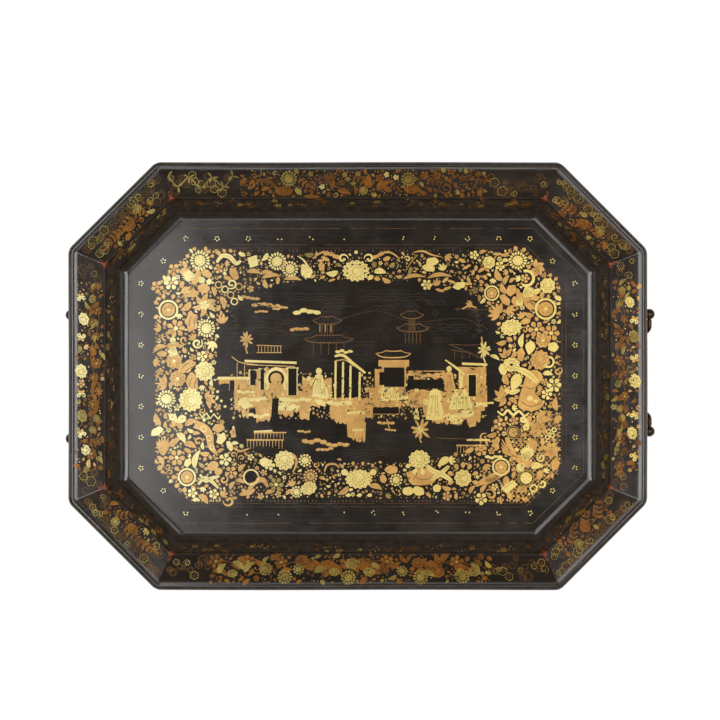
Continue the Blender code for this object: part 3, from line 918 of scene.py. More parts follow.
def cloud(sheet, tone, at, size):
    for i in range(4):
        x = at[0] + size * (i - 1.5) * 0.5
        y = at[1] + sheet.rng.uniform(-0.12, 0.12) * size
        blob(sheet, tone, (x, y), (size * 0.32, size * 0.17), uneven=0.16)


SPRIG_BEND = 18.0  # degrees along a sprig


def sprig(sheet, tone, at, length, turn, pairs, size):
    """A stem with pairs of leaves and one at the tip."""
    points = [away(at, length * t, turn + SPRIG_BEND * t) for t in (0, 0.35, 0.7, 1.0)]
    stroke(sheet, tone, points, 0.9, 0.4)
    for i in range(pairs):
        t = (i + 0.6) / pairs
        base = away(at, length * t, turn + SPRIG_BEND * t)
        for side in (1, -1):
            reach = size * (1.1 - 0.4 * t) * sheet.rng.uniform(0.85, 1.1)
            out = turn + SPRIG_BEND * t + side * sheet.rng.uniform(38, 62)
            leaf(sheet, tone, base, reach, reach * 0.42, out, side * 0.1)
    leaf(sheet, tone, points[-1], size, size * 0.42, turn + SPRIG_BEND)


def petals(sheet, tone, at, distance, size, turns):
    """Petals that point outward, each at a distance from one place."""
    for turn in turns:
        petal(sheet, tone, away(at, distance, turn), *size, turn)


def leaves(sheet, tone, at, size, turns, teeth=0.0):
    """Leaves that all grow from one place."""
    for turn in turns:
        leaf(sheet, tone, at, *size, turn, teeth=teeth)


def dots_round(sheet, tone, at, distance, count, size, points, first=0):
    for i in range(count):
        blob(sheet, tone, away(at, distance, 360 / count * i + first), (size, size), points=points)


def shape(sheet, tone, corners, steps=3):
    """A smooth closed outline."""
    sheet.add(tone, smooth_through(corners + corners[:1], steps)[:-1])


def at_each(sheet, mark, tone, places, *values, **named):
    """The same mark at several places."""
    for at in places:
        mark(sheet, tone, at, *values, **named)


def sized(sheet, mark, tone, places):
    """The same mark at several places, with a size for each."""
    for at, size in places:
        mark(sheet, tone, at, size)


def strewn(sheet, mark, tone, places, size, turns, *values):
    """The same mark at several places, each turned at random between two limits."""
    for at in places:
        mark(sheet, tone, at, *size, sheet.rng.uniform(*turns), *values)


def clump(sheet, tone, places, shape=(1.0, 0.7), turns=(0, 180), uneven=0.2, points=14):
    """Uneven ovals at several places, with a size for each."""
    for at, size in places:
        half = (size * shape[0], size * shape[1])
        blob(sheet, tone, at, half, sheet.rng.uniform(*turns), uneven, points)


def uprights(sheet, tone, xs, low, high, width):
    for x in xs:
        stroke(sheet, tone, [(x, low), (x, high)], width)


def paint(sheet, rows):
    """Makes each row's mark in turn; a dict at a row's end holds named values."""
    for mark, *values in rows:
        named = values.pop() if values and isinstance(values[-1], dict) else {}
        mark(sheet, *values, **named)


def small_motif(sheet, tone, at, size, turn):
    """One of the small things that crowd between the flowers."""
    kind = sheet.rng.random()
    if size < 1.6:
        blob(sheet, tone, at, (size * 0.62, size * 0.5), turn, points=7)
    elif kind < 0.40:
        base = away(at, size * 0.95, turn + 180)
        leaf(sheet, tone, base, size * 1.9, size * 0.95, turn, teeth=0.22 if size > 4 else 0.0)
    elif kind < 0.56:
        blossom(sheet, tone, at, size * 0.85, 5, PEACH if tone == PALE else None, turn)
    elif kind < 0.76:
        fan_of(sheet, tone, away(at, size * 0.85, turn + 180), size * 1.4, turn, 80, 4, size * 0.4)
    elif kind < 0.88:
        scroll(sheet, tone, at, size * 0.8, size * 0.28, turn, sheet.rng.choice((1, -1)), 0.9)
    else:
        blob(sheet, tone, at, (size * 0.85, size * 0.55), turn, 0.22)


def fill(sheet, inside, spacing, tones, sizes, gap):
    """Packs small leaves, buds and dots into what is still bare."""
    (x0, x1), (y0, y1) = inside.box
    rng = sheet.rng
    for size in sizes:
        step = spacing * size / 4.6
        spots = [
            (x + rng.uniform(-0.4, 0.4) * step, y + rng.uniform(-0.4, 0.4) * step)
            for x in np.arange(x0, x1, step)
            for y in np.arange(y0, y1, step)
        ]
        rng.shuffle(spots)
        for at in spots:
            if inside.holds(*at) and sheet.free(*at, size * 0.55 + gap):
                small_motif(sheet, rng.choice(tones), at, size, rng.uniform(0, 360))


class Inside:
    """A region to fill: its box and a test."""

    def __init__(self, x_range, y_range, test):
        self.box = (x_range, y_range)
        self.test = test

    def holds(self, x, y):
        (x0, x1), (y0, y1) = self.box
        return x0 < x < x1 and y0 < y < y1 and self.test(x, y)


# ---------------------------------------------------------------- floor: border

LINE_HALF = {"outer": (243.0, 158.5), "second": (223.8, 141.0), "inner": (219.6, 137.4)}
ROW_HALF = (233.5, 147.6)
CARTOUCHE = (153.0, 98.0, 5.0)  # half width, half height and middle of the bare ground
CARTOUCHE_POWER = 3.4


def along_outline(points, spacing, first=0.5):
    """Evenly spaced places along a closed outline, with the side's direction in degrees."""
    places = []
    for start, end in zip(points, points[1:] + points[:1]):
        length = math.dist(start, end)
        turn = math.degrees(math.atan2(end[1] - start[1], end[0] - start[0]))
        count = max(1, round(length / spacing))
        places += [(away(start, length * (i + first) / count, turn), turn) for i in range(count)]
    return places


def gild_lines(sheet):
    """The thin octagons, worn through here and there, the row of dot flowers and the fringe."""
    for name, width in (("outer", 0.45), ("second", 0.4), ("inner", 0.4)):
        points = octagon(*LINE_HALF[name])
        for at, turn in along_outline(points, 9.0):
            if sheet.rng.random() < 0.86:
                length = sheet.rng.uniform(3.9, 4.5)
                ends = [away(at, -length, turn), away(at, length, turn)]
                stroke(sheet, LINE, ends, width, width * sheet.rng.uniform(0.5, 1.2))
    for at, turn in along_outline(octagon(*ROW_HALF), 34.0, 0.0):
        worn = abs(at[1]) > 140 and abs(at[0]) < (100 if at[1] > 0 else 165)
        for i in range(5):
            if sheet.rng.random() < (0.3 if worn else 0.93):
                dot = away(at, 2.2, 72 * i + turn + 90)
                blob(sheet, PALE, dot, (0.85, 0.72), 72 * i, points=8)
    half_x, half_y = LINE_HALF["inner"]
    for at, turn in along_outline(octagon(half_x - 1.5, half_y - 1.5), 4.1):
        if sheet.rng.random() < 0.72:
            tone = PEACH if abs(at[0]) > 150 else LINE
            petal(sheet, tone, at, sheet.rng.uniform(1.6, 2.6), 1.7, turn + 90, 3)
    for x in np.arange(168, 217, 5.0):
        for y in np.arange(-134, -40, 5.0):
            if x - 0.55 * y > 205 and x - y < 318:
                stroke(sheet, PEACH, [(x - 2.6, y - 2.6), (x + 2.6, y + 2.6)], 0.4)
                stroke(sheet, PEACH, [(x - 2.6, y + 2.6), (x + 2.6, y - 2.6)], 0.4)


def in_border(x, y, margin=3.0):
    half_x, half_y = (half - margin for half in LINE_HALF["inner"])
    if abs(x) > half_x or abs(y) > half_y or abs(x) + abs(y) > half_x + half_y - 36:
        return False
    a, b, middle = CARTOUCHE
    return (abs(x) / a) ** CARTOUCHE_POWER + (abs(y - middle) / b) ** CARTOUCHE_POWER > 1


def masses(sheet, side, count):
    """Broad worn patches of gold that run under the flowers of a side border."""
    rng = sheet.rng
    for _ in range(count * 4):
        at = (side * rng.uniform(150, 216), rng.uniform(-122, 118))
        if in_border(*at, 12.0) and sheet.free(*at, 5.0) and count:
            count -= 1
            size, turn = rng.uniform(8, 13), rng.uniform(0, 180)
            blob(sheet, PEACH, at, (size, size * rng.uniform(0.6, 0.85)), turn, 0.3, 20)
            for shift in (-0.3, 0.25):
                middle = away(at, shift * size, turn + 90)
                start = away(middle, -0.6 * size, turn + 12)
                end = away(middle, 0.6 * size, turn - 14)
                stroke(sheet, INK, [start, middle, end], 0.25, 0.2, 0.6)


def crest_wings(sheet):
    """What flanks the large flower in the middle of the top border."""
    x, y = -2, 113
    for turn in (20, 65, 115, 160, 200, 340):
        a = math.radians(turn)
        blob(sheet, INK, (x + 10 * math.cos(a), y + 7.5 * math.sin(a)), (1.0, 0.9))
    for side in (1, -1):
        scroll(sheet, PALE, (x + side * 14, 126), 5.5, 2.0, 90 + side * 90, -side, 0.9)
        leaf(sheet, PALE, (x + side * 19, 112), 14, 6.5, 90 - side * 96)
        for dx, dy in ((21, 128), (27, 131), (33, 126)):
            blob(sheet, PEACH, (x + side * dx, dy), (4.5, 2.2), side * 20, 0.3)
        vine = [(x + side * dx, dy) for dx, dy in ((24, 131), (36, 133), (47, 126))]
        stroke(sheet, PEACH, vine, 1.6, 0.7, 2.2)


def horn_rings(sheet):
    """Bands round the left border's horn, smaller toward its tip."""
    for i, at in enumerate([(-166, -57), (-160, -67), (-157, -77)]):
        ring(sheet, PALE, at, 3.2 - 0.4 * i, 0.9)


def small_petals(sheet):
    """What stands over and under the large flower in the middle of the bottom border."""
    for x, y in ((-16, -98), (-5, -95), (5, -95), (15, -97)):
        petal(sheet, PEACH, (x, y - 2), 5, 3.6, 90 - x)
    for x in (-11, 1, 12):
        petal(sheet, PALE, (x - 2.5, -129), 6, 4, 10)


# Each row is a mark and its values; the rows are made in this order
LEFT_BORDER = (
    (aster, PALE, (-170, 124), 11), (petals, PEACH, (-170, 124), 11.5, (5, 4), (20, 65, 115, 160)),
    (ribbon, PALE, [(-152, 122), (-146, 129), (-138, 128), (-131, 121), (-126, 124)], 5),
    (Sheet.add, PALE, [(-119, 127), (-109, 130), (-107, 119), (-116, 116)]),
    (leaf, PEACH, (-120, 112), 17, 5, -8), (leaf, PEACH, (-106, 109), 15, 4, 10),
    (bird, (-174, 105), 20, 62),
    (clump, PEACH, (((-186, 112), 6), ((-163, 110), 6), ((-166, 94), 7), ((-183, 92), 7),
     ((-176, 88), 5))),
    (blossom, PALE, (-201, 100), 8, 6, PEACH), (leaf, PALE, (-210, 108), 12, 5, -65),
    (at_each, ring, PEACH, ((-150, 98), (-137, 87), (-128, 96)), 3.4, 1.3),
    (at_each, ring, PALE, ((-143, 93), (-133, 80)), 3.4, 1.3),
    (scroll, PALE, (-136, 99), 6, 1.7, 200), (disc, PALE, (-204, 71), 11),
    (petals, PEACH, (-204, 71), 12, (6, 4.5), (70, 110, 150, -150, -105)),
    (leaves, PEACH, (-165, 76), (14, 6.5), (-30, 20, 75, 130, 190, 250), 0.2),
    (blossom, PALE, (-165, 76), 5, 5), (blossom, PEACH, (-196, 51), 10, 7, PALE),
    (aster, PALE, (-163, 51), 10), (sprig, PEACH, (-215, 40), 18, 10, 3, 6),
    (bird, (-199, 33), 17, 10, -1), (scroll, PALE, (-173, 35), 6, 2.0, 40, -1),
    (peony, PEACH, (-198, 16), 9, PALE), (blossom, PALE, (-168, 21), 6, 5),
    (peony, PALE, (-165, 5), 11), (peony, PEACH, (-194, -3), 9, PALE),
    (leaves, PEACH, (-206, -8), (11, 4.5), (100, 140, 180, 220)),
    (aster, PALE, (-206, -25), 10, PEACH, 9), (peony, PALE, (-180, -26), 13),
    (leaves, PEACH, (-163, -26), (11, 5.5), (-70, -20, 25, 70), 0.25),
    (at_each, blob, PALE, ((-147, -27), (-143, -33), (-158, -38), (-151, -17)), (1.6, 1.5),
     {"points": 8}),
    (stroke, PALE, [(-171, -40), (-167, -45), (-163, -40), (-159, -46), (-155, -41),
     (-151, -46), (-148, -43)], 1.4, 1.2, 2.0, {"smooth": False}),
    (butterfly, (-195, -50), 12, 80),
    (stroke, PEACH, [(-176, -52), (-166, -56), (-160, -64), (-158, -76), (-152, -84)], 8.0, 2.5,
     8.5),
    (horn_rings,), (fan_of, PEACH, (-210, -88), 22, 88, 46, 6, 3.0),
    (leaf, PALE, (-176, -100), 22, 6.5, 72), (blossom, PEACH, (-195, -88), 9, 6, PALE),
    (leaf, PEACH, (-216, -86), 14, 5, -60), (disc, PALE, (-184, -109), 10),
    (petals, PEACH, (-184, -109), 10.5, (6.5, 5), (140, 180, 220, 260, 300)),
    (blob, PEACH, (-156, -97), (6.5, 5), 30, 0.05),
    (blob, PEACH, (-150, -103), (4.5, 3.6), 30, 0.05), (blossom, PALE, (-143, -90), 7, 5),
    (ribbon, PALE, [(-172, -117), (-165, -110), (-158, -113), (-150, -121)], 4),
    (ribbon, PALE, [(-170, -106), (-164, -113), (-157, -110), (-149, -108)], 4),
    (blossom, PALE, (-178, -126), 5.5, 5, PEACH), (blossom, PALE, (-155, -127), 5.5, 5, PEACH),
)

RIGHT_BORDER = (
    (aster, PALE, (172, 124), 10),
    (petals, PEACH, (172, 124), 10.5, (5.5, 4.5), (-30, 15, 60, 100, 150)),
    (leaves, PEACH, (192, 116), (10, 6), (-150, -100, -60, -20, 30, 90), 0.25),
    (ring, PALE, (181, 105), 8, 3.0, -120, 230), (blossom, PEACH, (180, 105), 5, 5, PALE),
    (peony, PALE, (204, 97), 8.5), (petals, PEACH, (204, 97), 9, (5, 4), (40, 75, -10, -50, -85)),
    (leaf, PALE, (197, 93), 13, 6, 190), (bird, (178, 84), 21, 150, -1),
    (clump, PEACH, (((186, 76), 7), ((170, 80), 6), ((165, 92), 7), ((190, 84), 5))),
    (disc, PALE, (144, 89), 8.5), (disc, PALE, (202, 72), 12),
    (leaf, PEACH, (160, 88), 14, 6, 115), (leaf, PEACH, (157, 98), 12, 5, 60),
    (strewn, blob, PEACH, ((124, 111), (129, 106), (133, 101), (127, 116), (137, 106),
     (139, 97)), ((3.0, 1.9),), (0, 180), 0.2),
    (fan_of, PEACH, (154, 66), 14, 150, 120, 6, 3.6),
    (peony, PALE, (165, 52), 12, PEACH, 0.75, 10), (blossom, PEACH, (192, 50), 9, 6, PALE),
    (blossom, PEACH, (208, 46), 9, 6, PALE), (leaf, PALE, (176, 30), 16, 6, 82),
    (petal, PALE, (184, 23), 15, 11, 80), (peony, PEACH, (199, 38), 8, PALE),
    (blob, PALE, (210, 31), (6, 5), 0, 0.15), (peony, PEACH, (196, 17), 11, None),
    (ring, PALE, (205, 15), 5.5, 2.2, -140, 220),
    (leaves, PEACH, (161, 21), (10, 4.5), (60, 110, 160)),
    (peony, PALE, (165, 12), 9.5, INK, 0.85), (blob, PALE, (156, 7), (4.5, 6), 20),
    (ribbon, PALE, [(169, 8), (178, 5), (186, 0), (193, -7)], 7),
    (petal, PALE, (166, -16), 20, 12, 68),
    (shape, PEACH, [(178, -8), (183, 4), (193, 6), (199, -2), (192, -12), (191, -19),
     (200, -30), (192, -37), (180, -37), (172, -31)]),
    (blob, PALE, (185, -24), (3.2, 3.0), 0, 0.1),
    (stroke, INK, [(181, -12), (187, -14), (193, -11)], 0.5),
    (stroke, INK, [(176, -28), (186, -33), (197, -29)], 0.5),
    (blossom, PALE, (211, -10), 8, 6, OLIVE), (blossom, PALE, (203, -20), 6, 5),
    (leaf, PEACH, (214, -38), 16, 6.5, 92),
    (leaves, PEACH, (158, -22), (13, 6.5), (-120, -165, 150, 105, 60), 0.25),
    (ribbon, PALE, [(158, -15), (166, -18), (174, -15)], 4.5),
    (stroke, PALE, [(150, -38), (156, -42), (161, -37), (167, -42), (173, -38), (179, -43),
     (184, -40)], 1.8, 1.6, 2.8),
    (butterfly, (183, -50), 10, 200),
    (leaves, PEACH, (193, -50), (17, 8), (10, 50, -60, -90, -125), 0.2),
    (at_each, ring, PALE, ((205, -60), (209, -64), (204, -66), (211, -58)), 2.2, 1.2),
    (blossom, PEACH, (152, -52), 7, 5, PALE), (disc, OLIVE, (167, -61), 7.5),
    (stroke, PEACH, [(160, -66), (164, -78), (170, -90)], 4, 6, 6),
    (petals, PEACH, (151, -73), 0, (8, 5), (100, 150, 200, 250)), (bird, (178, -92), 24, -35),
    (fan_of, PEACH, (190, -84), 17, 105, 50, 7, 2.0),
    (leaves, PEACH, (208, -80), (11, 5.5), (0, 50, 100, 150, 210, 260, 310), 0.2),
    (scroll, PALE, (197, -88), 5, 1.6, 100), (disc, PALE, (154, -98), 10),
    (cloud, PALE, (146, -88), 9),
    (at_each, fan_of, PEACH, ((167, -101), (160, -105)), 34, 200, 14, 4, 3.0),
    (Sheet.add, PALE, [(154, -121), (166, -112), (172, -117), (160, -127)]),
    (stroke, INK, [(157, -121), (167, -114)], 0.4), (disc, OLIVE, (181, -110), 9.5, PALE),
    (ring, PALE, (189, -121), 3.6, 1.6), (leaf, PALE, (186, -99), 14, 7, 8),
    (leaf, PEACH, (194, -112), 13, 6.5, 60),
    (leaves, PEACH, (176, -118), (10, 4.5), (230, 265, 300)),
)

TOP_BORDER = (
    (peony, PALE, (-2, 113), 15, None, 0.78), (blob, PEACH, (-2, 113), (4.0, 3.6), 0, 0.03),
    (crest_wings,), (blob, PALE, (-2, 133), (2.0, 2.0), 0, 0.05, 8), (aster, PALE, (-87, 123), 10),
    (aster, PALE, (-73, 115), 9, PALE), (petal, PALE, (-60, 120), 17, 13, -60),
    (stroke, PALE, [(-65, 129), (-58, 124), (-53, 116)], 0.8, 3),
    (leaf, PEACH, (-104, 105), 22, 5, 6), (leaf, PEACH, (-80, 104), 20, 5, -4),
    (strewn, blob, PEACH, ((-45, 130), (-40, 124), (-34, 131), (-48, 107), (-38, 106),
     (-28, 103)), ((3.4, 1.5),), (0, 90), 0.3),
    (blob, PALE, (80, 123), (6, 5), 20, 0.25), (blob, PALE, (76, 116), (6.5, 4), -10, 0.25),
    (stroke, OLIVE, [(64, 130), (57, 122), (51, 112)], 1.5, 0.8),
    (leaf, OLIVE, (57, 118), 11, 4, 250), (leaf, PEACH, (48, 104), 26, 4, 4),
    (leaf, PEACH, (74, 105), 28, 4.5, 3), (blossom, PALE, (74, 98), 6, 6),
    (stroke, PEACH, [(60, 133), (70, 134), (80, 130), (90, 128)], 1.0, 0.6, 2.0),
    (blob, PALE, (109, 97), (6, 4.4), 15, 0.25),
    (strewn, blob, PEACH, ((94, 103), (101, 101), (118, 99), (88, 92), (96, 94)), ((4.4, 1.7),),
     (-20, 40), 0.3),
    (blossom, PALE, (125, 130), 5, 5), (peony, PALE, (141, 122), 7, PALE),
    (strewn, blob, PEACH, ((112, 124), (150, 131), (158, 130), (133, 114), (117, 117)),
     ((4.5, 1.8),), (-40, 40), 0.3),
)

BOTTOM_BORDER = (
    (peony, PALE, (1, -111), 15, PALE, 0.72), (petals, PALE, (1, -111), 12, (9, 7), (25, 155)),
    (small_petals,), (leaf, PEACH, (-10, -119), 15, 6, 215),
    (leaf, PEACH, (12, -118), 15, 6, -18), (peony, PALE, (-53, -121), 9, OLIVE, 0.8, 20),
    (aster, PEACH, (-51, -108), 8, OLIVE), (aster, PALE, (-57, -91), 7),
    (peony, PALE, (-79, -91), 11, OLIVE), (petal, PALE, (-92, -96), 15, 10, 160),
    (stroke, PEACH, [(-118, -124), (-111, -114), (-102, -112), (-97, -120)], 3, 2, 6),
    (stroke, PEACH, [(-84, -86), (-72, -84), (-66, -92), (-70, -104)], 1.5, 1.0, 3),
    (blossom, OLIVE, (-88, -117), 8, 6, PALE),
    (stroke, PEACH, [(-36, -103), (-33, -96), (-25, -95), (-20, -99)], 1.2, 0.8, 2.2),
    (strewn, blob, PEACH, ((-20, -90), (-26, -109), (-33, -112), (-24, -118), (24, -93),
     (27, -105)), ((2.0, 1.2),), (0, 180), 0.3),
    (blob, PEACH, (36, -101), (6.5, 5), 0, 0.15), (aster, PALE, (41, -112), 7, PEACH),
    (peony, PALE, (66, -90), 12, PEACH, 0.85),
    (petals, PALE, (66, -90), 10, (7, 5), (-150, -110, -75)),
    (shape, PEACH, [(52, -104), (58, -117), (80, -116), (84, -106), (70, -99)]),
    (stroke, INK, [(60, -108), (70, -112), (80, -109)], 0.5),
    (blob, PALE, (54, -124), (6.5, 4.5), 10, 0.15), (blob, PALE, (65, -124), (6.5, 5), -10, 0.15),
    (petal, PALE, (86, -97), 15, 8, 40),
    (ribbon, PALE, [(73, -96), (82, -103), (92, -107), (101, -113)], 6),
    (ribbon, PALE, [(78, -112), (88, -106), (98, -97)], 5),
    (blob, PALE, (85, -121), (4.5, 4.2), 0, 0.1), (peony, PALE, (113, -110), 9.5, PALE),
    (petals, PEACH, (113, -110), 10.5, (7, 5), (60, 90, 120, 20, 160, 200, -20)),
    (disc, PALE, (-115, -109), 9, INK), (dots_round, PALE, (-115, -109), 4, 6, 0.8, 7),
    (stroke, PEACH, [(-125, -122), (-118, -126), (-111, -122)], 2, 2, 5),
    (blossom, PALE, (-95, -96), 6, 5, PEACH), (aster, PALE, (-66, -125), 6.5),
    (strewn, leaf, PEACH, ((-132, -112), (-138, -122), (-128, -128), (-100, -127), (-78, -128),
     (132, -126), (120, -127)), (11, 4.5), (-30, 60)),
)


def gild_border(sheet):
    for rows in (LEFT_BORDER, RIGHT_BORDER, TOP_BORDER, BOTTOM_BORDER):
        paint(sheet, rows)
    masses(sheet, -1, 9)
    masses(sheet, 1, 9)
    dense = (PEACH, PEACH, PEACH, PALE)
    sides = Inside((-218, 218), (-136, 136), lambda x, y: abs(x) > 132 and in_border(x, y))
    fill(sheet, sides, 5.6, dense, (8.0, 6.2, 4.6, 3.2, 1.9), 0.6)
    here = lambda x, y: in_border(x, y, 6.0) and sheet.rng.random() < 0.36
    ends = Inside((-134, 134), (-136, 136), here)
    fill(sheet, ends, 7.0, (PEACH, PEACH, PEACH, OLIVE, PALE), (6.0, 4.4, 2.8, 1.8, 1.2), 0.8)


# ---------------------------------------------------------------- floor: scene

def panel(sheet, tone, left, low, right, high, lean=0.0):
    sheet.add(tone, [(left, low), (right, low), (right + lean, high), (left + lean, high)])


def roof(sheet, tone, left, right, eaves, rise):
    """A hipped roof with eaves that turn up at both ends."""
    span, top = right - left, eaves + rise
    edge = [(left - 5, eaves + 4), (left + 0.12 * span, eaves)]
    edge += [(right - 0.12 * span, eaves), (right + 5, eaves + 4)]
    stroke(sheet, tone, edge, 0.8, 0.8, 1.5)
    ridge = [(left + 0.2 * span, top), (left + 0.5 * span, top - 0.6), (right - 0.2 * span, top)]
    stroke(sheet, tone, ridge, 1.2, 1.2, 1.0)
    for low, high in ((edge[0], ridge[0]), (edge[3], ridge[2])):
        between = ((low[0] * 0.35 + high[0] * 0.65), (low[1] * 0.6 + high[1] * 0.4))
        stroke(sheet, tone, [low, between, high], 0.7, 0.9)
    middle = left + span / 2
    for i in range(1, int(span / 4)):
        x = left + 4 * i
        stroke(sheet, FAINT, [(x, eaves + 1), (middle + (x - middle) * 0.62, top - 1)], 0.5)


def doorway(sheet, left, low, right, high, frame_tone=PALE, width=1.6):
    """A dark opening with a light frame."""
    panel(sheet, INK, left, low, right, high)
    stroke(sheet, frame_tone, [(left, low), (left, high)], width, smooth=False)
    stroke(sheet, frame_tone, [(right, low), (right, high)], width, smooth=False)
    stroke(sheet, frame_tone, [(left - width, high), (right + width, high)], width, smooth=False)


def figure(sheet, at, height, robe=PALE, lean=0.0, seated=False):
    """A small robed figure with a plain round head."""
    x, y = at
    wide = height * (0.34 if seated else 0.22)
    waist, neck = y + height * 0.4, y + height * 0.74
    corners = [(x - wide, y), (x + wide, y), (x + wide * 0.8 + lean, waist)]
    corners += [(x + wide * 0.55 + lean, neck), (x - wide * 0.55 + lean, neck)]
    shape(sheet, robe, corners + [(x - wide * 0.8 + lean, waist)], 2)
    blob(sheet, PALE, (x + lean, y + height * 0.87), (height * 0.11, height * 0.12), 0, 0.03, 9)
    for side in (-0.45, 0.1, 0.5):
        top = (x + lean + side * wide * 0.4, y + height * 0.62)
        stroke(sheet, INK, [top, (x + side * wide, y + height * 0.08)], 0.35, 0.2)
    sleeve = [(x - wide * 0.6 + lean, y + height * 0.6), (x - wide * 1.2, y + height * 0.42)]
    sleeve.append((x - wide * 0.4, y + height * 0.36))
    stroke(sheet, robe, sleeve, 1.2, 0.8, 2.0)


def star_tree(sheet, tone, at, radius, trunk=0.0):
    """A palm-like tree with blades on every side."""
    for i in range(9):
        reach = radius * sheet.rng.uniform(0.7, 1.05)
        petal(sheet, tone, at, reach, radius * 0.24, 40 * i + sheet.rng.uniform(-9, 9), 4)
    if trunk:
        stem = [at, (at[0] - 1, at[1] - trunk * 0.5), (at[0] + 1, at[1] - trunk)]
        stroke(sheet, tone, stem, 1.0, 1.6)


PILE_STEP = 3.4


def piles(sheet, tone, left, right, top, depth):
    """A landing stage on piles."""
    stroke(sheet, tone, [(left, top), (right, top)], 2.0, 1.2)
    for x in np.arange(left + 1, right, PILE_STEP):
        stroke(sheet, tone, [(x, top), (x, top - depth * sheet.rng.uniform(0.6, 1.1))], 0.9, 0.4)


def waves_of(sheet, tone, at, width, rows=3):
    for i in range(rows):
        y = at[1] - 3.2 * i
        shift = sheet.rng.uniform(-4, 4)
        points = [
            (at[0] + shift + width * (t - 0.5), y + (0.7 if k % 2 else -0.7))
            for k, t in enumerate(np.linspace(0, 1, 7))
        ]
        stroke(sheet, tone, points, 0.4)


def tower(sheet, left, right, eaves):
    """A far tower's roof on thin posts."""
    roof(sheet, LINE, left, right, eaves, 8)
    uprights(sheet, LINE, np.linspace(left + 5, right - 5, 5), eaves - 1, eaves - 13, 0.7)


def columns(sheet):
    """The middle pavilion's leaning columns, and the dark between them."""
    for x, top in ((-24, 16), (-16, 15), (-8, 11), (2, 4)):
        stroke(sheet, PALE, [(x, top), (x - 0.5, -26)], 2.2, 2.2)
    for left, right, high in ((-22.5, -17.5, 9), (-14.5, -9.5, 8), (-6.5, 0, 3)):
        panel(sheet, INK, left, -23, right, high)


def far_scrolls(sheet):
    rng = sheet.rng
    for _ in range(14):
        at = (rng.uniform(-130, 130), rng.uniform(35, 90))
        scroll(sheet, FAINT, at, rng.uniform(2.5, 5), 0.5, rng.uniform(0, 360), 1, 1.1)


def stair_treads(sheet):
    for i in range(5):
        x, y = 96 + 3.6 * i, 15 - 3 * i
        stroke(sheet, INK, [(x, y), (x + 1.6, y - 3)], 0.6)


def ground_specks(sheet):
    """Dark specks where the terraces' gold has worn through."""
    rng = sheet.rng
    for _ in range(150):
        at = (rng.uniform(-132, 136), rng.uniform(-48, 2))
        size = (rng.uniform(0.4, 1.7), rng.uniform(0.3, 0.9))
        blob(sheet, INK, at, size, rng.uniform(0, 180), 0.4, 9)


def rocks(sheet, tone, left, right, top, bottom, count=7):
    """A terrace's broken front."""
    for i in range(count):
        x = left + (right - left) * (i + 0.5) / count
        low = bottom + sheet.rng.uniform(0, 0.4) * (top - bottom)
        wide = (right - left) / count * 0.62
        upper = [(x - wide, top), (x + wide, top)]
        lower = [(x + wide * 0.7, low + 2), (x + 0.3, low), (x - wide * 0.8, low + 3)]
        sheet.add(tone, upper + lower)


def terrace(sheet, tone, left, right, top, lows):
    """A broken terrace: a ragged upper edge, and a lower edge in steps."""
    rng = sheet.rng
    upper = [(x, top + rng.uniform(-2.4, 2.4)) for x in np.arange(left, right, 4.0)]
    lower = []
    for i, low in enumerate(lows):
        start, end = (left + (right - left) * (i + k) / len(lows) for k in (0, 1))
        for x in np.linspace(start + 0.5, end - 0.5, 5):
            lower.append((x, low + rng.uniform(-2.0, 2.0)))
    sheet.add(tone, upper + [(right, top)] + lower[::-1])


# The terraces that carry the pavilions
GROUND = (
    (terrace, PEACH, -150, -120, -4, (-9, -12)),
    (terrace, PEACH, -133, -94, -8, (-38, -44, -36, -50, -48)),
    (terrace, PEACH, -118, -66, 8, (-14, -20, -18)),
    (terrace, PEACH, -96, -30, -17, (-30, -40, -37, -46, -34, -30)),
    (terrace, PEACH, -60, -28, -2, (-24, -26)),
    (terrace, PEACH, -30, 16, -25, (-38, -52, -66, -70, -46)),
    (terrace, PEACH, 12, 92, -17, (-27, -30, -26, -31, -34, -30)),
    (terrace, PEACH, 18, 52, 6, (-20, -18)), (terrace, PEACH, 52, 94, 3, (-4, -3)),
    (terrace, PEACH, 70, 137, -16, (-36, -50, -40, -52, -47, -54, -38)),
    (terrace, PEACH, 108, 138, 8, (-20, -22)), (panel, INK, -112, -4, -109, 5),
    (panel, INK, 53, -14, 92, -4), (panel, INK, 54, -12, 60, 0), (panel, INK, 23, -10, 28, 4),
    (clump, PALE, (((-122, -30), 11), ((-84, -30), 10), ((-70, -34), 9), ((-40, -29), 8),
     ((76, -26), 8), ((104, -46), 12)), (0.75, 0.4), (-25, 25), 0.35, 18),
    (ground_specks,),
)

